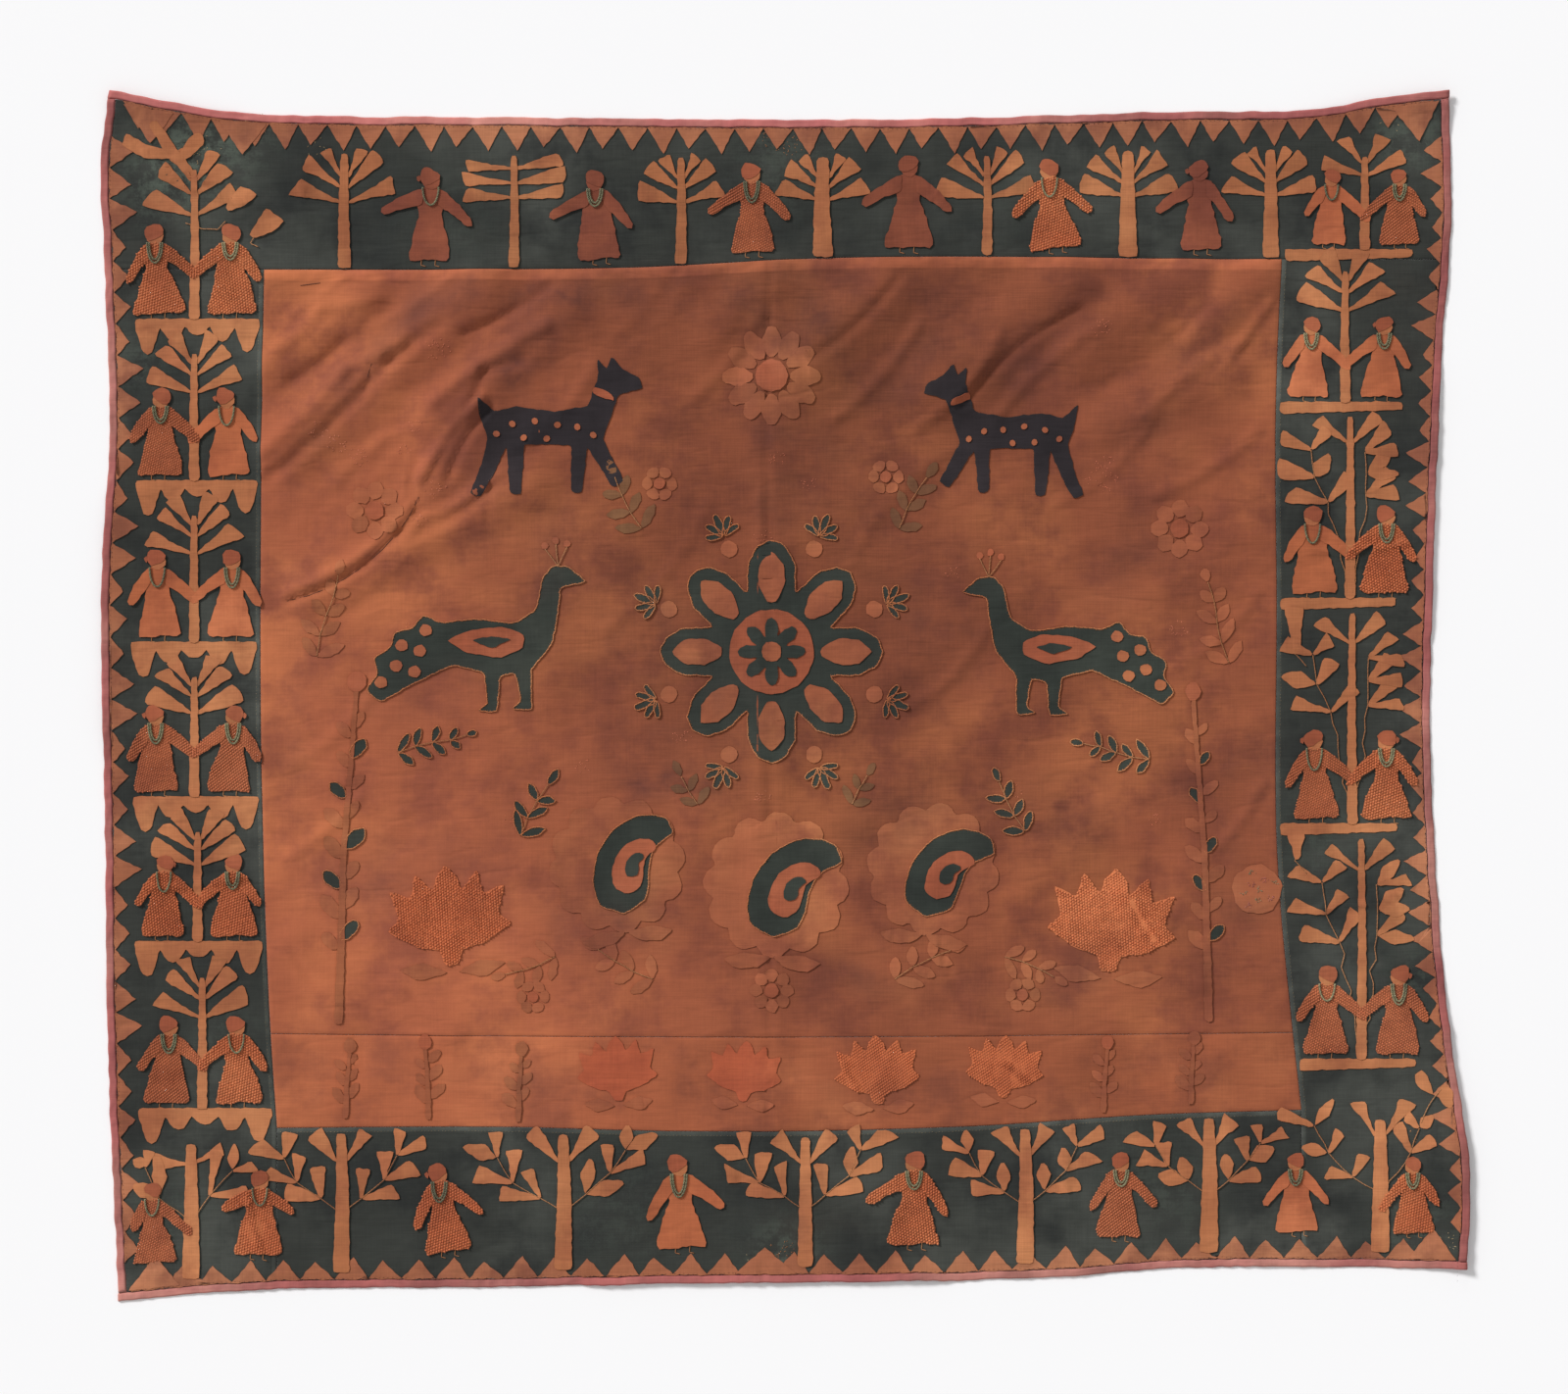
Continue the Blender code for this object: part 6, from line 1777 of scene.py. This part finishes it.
def runningStitches(name, distance, start, end, count, kind, seed):
    look = rowUneven
    thread, apart, length, width, height, tone = rowStitches[kind]
    places = np.linspace(start, end, count)
    across = beside(name, distance)(places)
    line = [across, places] if name in ("left", "right", "fieldLeft", "fieldRight") else [places, across]
    x, y, heading = paced(np.stack(line, 1), apart, closed=False)
    draw = np.random.default_rng(seed)
    n = len(x)
    x, y = x + draw.normal(0, look["wander"], n), y + draw.normal(0, look["wander"], n)
    rows = (x, y, clothTop(x, y) + height, heading + draw.normal(0, look["turn"], n),
            length * draw.uniform(*look["lengths"], n), np.full(n, width), np.full(n, look["height"]),
            tone + draw.normal(0, look["tone"], n))
    addStitches("stitch", thread, rows)


# Dark thread that draws the cloth into a tuck, and the loose ends beside it
tuckLines = (
    [
        (-0.3265, 0.178), (-0.334, 0.162), (-0.344, 0.148), (-0.359, 0.131), (-0.374, 0.1175),
        (-0.389, 0.107), (-0.404, 0.098), (-0.4245, 0.09), (-0.4445, 0.085),
    ],
    [(-0.4325, 0.3667), (-0.415, 0.369)], [(-0.3682, 0.2963), (-0.372, 0.284)],
)

# Mended places with threads running out from the middle. Columns: x, y, reach, stitches, thread.
mends = (
    (0.0, 0.497, 0.02, 60, "tanThread"), (-0.002, -0.498, 0.016, 44, "tanThread"),
    (-0.52, 0.486, 0.018, 26, "paleThread"), (-0.47, 0.51, 0.014, 16, "paleThread"),
    (0.545, 0.514, 0.014, 18, "paleThread"), (0.59, -0.486, 0.01, 14, "paleThread"),
    (-0.03, -0.505, 0.012, 12, "paleThread"), (0.56, -0.395, 0.012, 12, "tanThread"),
    (-0.42, 0.492, 0.012, 10, "paleThread"),
)


def makeStitches():
    for outline, way, level, turn in yarnPatches:
        coverWithYarn(outline, way, level, turn, "knit" if way == "knit" else "tunic")
    for i, (x, y, reach, count) in enumerate(bursts):
        radiating(x, y, reach, count, "salmonThread", 100 + i)
    for i, (x, y, reach, count, finish) in enumerate(mends):
        radiating(x, y, reach, count, finish, 200 + i)
    look = printedPatch
    for i in range(look["flowers"]):
        angle, reach = 2.4 * i, look["radius"] * 0.78 * math.sqrt((i + 0.3) / look["flowers"])
        spot = (look["x"] + reach * math.cos(angle), look["y"] + reach * math.sin(angle))
        radiating(*spot, 0.0034, 9, ("necklace", "binding")[i % 2], 500 + i, 0.0011)
    for row in stitchLines:
        runningStitches(*row)
    for (kind, finish), rows in stitchRows.items():
        name, slot = ("Stitches", "tan_patch") if kind == "stitch" else ("Yarn", "raised_patch")
        scatter(finish + name, kind, finish, rows)


# level is the height of each kind of cord over the cloth, second how much smaller a necklace's inner cord is
runLook = {
    "levels": {"knit": 0.0022, "necklace": 0.0017, "feet": 0.0002, "stems": 0.0006, "tucks": 0.0001},
    "points": 24, "second": (0.0019, 0.003), "stemStep": 0.011, "stemSway": 0.03,
}


def loop(x, y, half, drop):
    angle = np.linspace(math.pi, math.tau, runLook["points"])
    return np.stack([x + half * np.cos(angle), y + drop * np.sin(angle)], 1)


def swayed(run, seed):
    # thread never lies quite straight
    draw = random.Random(seed)
    points = []
    for start, end in zip(run, run[1:]):
        start, end = np.array(start), np.array(end)
        normal = np.array([start[1] - end[1], end[0] - start[0]])
        count = max(2, round(float(np.hypot(*(end - start))) / runLook["stemStep"]))
        for step in range(count):
            sway = draw.uniform(-runLook["stemSway"], runLook["stemSway"]) if step else 0.0
            points.append(start + (end - start) * step / count + normal * sway)
    points.append(np.array(run[-1], float))
    return np.array(points)


def makeCords():
    levels = runLook["levels"]
    addCords("couchedCords", cordRuns)
    hung = []
    for x, y, half, drop, way in necklaces:
        level = levels["knit" if way == "knit" else "necklace"]
        hung.append((loop(x, y, half, drop), level, False))
        # two in three have a second cord
        if round(x * 1e4) % 3:
            narrower, shorter = runLook["second"]
            hung.append((loop(x, y, half - narrower, drop - shorter), level, False))
    addCords("necklaceCords", hung)
    feet = []
    for x, y, size in threadFeet:
        line = [(x, y + 0.002), (x - 0.1 * size, y - 0.8 * size), (x + 0.7 * size, y - 1.0 * size)]
        feet.append((np.array(line), levels["feet"], False))
    addCords("threadFeet", feet)
    addCords("threadStems", [(swayed(run, i), levels["stems"], False) for i, run in enumerate(threadStems)])
    addCords("tuckThreads", [(np.array(points), levels["tucks"], False) for points in tuckLines])


# What is sewn to each ground cloth, by the start of its name. The field's panel carries all the rest.
sewnOn = {
    "borderTopCloth": ("bindingTop", "sawtoothTop", "topTree", "topFigure"),
    "borderLeftCloth": ("bindingLeft", "sawtoothLeft", "bayLeft"),
    "borderRightCloth": ("bindingRight", "sawtoothRight", "bayRight"),
    "borderBottomCloth": ("bindingBottom", "sawtoothBottom", "bottomTree", "bottomFigure", "corner"),
    "fieldStripCloth": (),
}


def declareSheets(sheets):
    cloths = [piece for piece, width, height in sheets]
    others = [piece for piece in laid if piece not in cloths]
    for piece, width, height in sheets[::-1]:
        starts = sewnOn.get(piece.name)
        own = [other for other in others if starts is None or other.name.startswith(starts)]
        others = [other for other in others if other not in own]


def makeStage():
    bm = bmesh.new()
    bmesh.ops.create_grid(bm, x_segments=1, y_segments=1, size=4.0)
    mesh = meshFrom(bm, "floor")
    floor = addObject("floor", mesh)
    material = bpy.data.materials.new("palePaper")
    material.use_nodes = True
    shader = material.node_tree.nodes["Principled BSDF"]
    shader.inputs["Base Color"].default_value = (0.965, 0.962, 0.97, 1)
    shader.inputs["Roughness"].default_value = 0.9
    mesh.materials.append(material)


cameraLook = {"width": 1.4, "lens": 85, "middle": (-0.0009, -0.0004)}
lightLook = {"sunFrom": (-1.25, 1.15, 1.05), "sunPower": 2.9, "softness": 14, "sky": 0.5}


def makeCameraAndLights():
    view = bpy.data.cameras.new("camera")
    view.lens = cameraLook["lens"]
    view.sensor_width = 36
    camera = addObject("camera", view)
    camera.location = (*cameraLook["middle"], cameraLook["width"] * view.lens / view.sensor_width)
    bpy.context.scene.camera = camera
    lamp = bpy.data.lights.new("softSun", "SUN")
    lamp.energy = lightLook["sunPower"]
    lamp.angle = math.radians(lightLook["softness"])
    sun = addObject("softSun", lamp)
    sun.rotation_euler = Vector(lightLook["sunFrom"]).to_track_quat("Z", "Y").to_euler()
    world = bpy.data.worlds.new("studio")
    world.use_nodes = True
    background = world.node_tree.nodes["Background"]
    background.inputs["Color"].default_value = (1.0, 1.0, 1.0, 1)
    background.inputs["Strength"].default_value = lightLook["sky"]
    bpy.context.scene.world = world
    bpy.context.scene.view_settings.view_transform = "Standard"


makeStage()
makeCameraAndLights()
print("camera, lights and floor are set")
grounds = makeGrounds()
print("ground cloths and binding are laid")
makeSawteeth()
makeBays()
makeRows()
makeMotifs()
makeTonalWork()
for piece in toLay:
    layPiece(piece)
print("patched pieces are laid:", len(toLay))
makeStitches()
makeCords()
print("threads, cords and yarn are laid")
declareSheets(grounds)
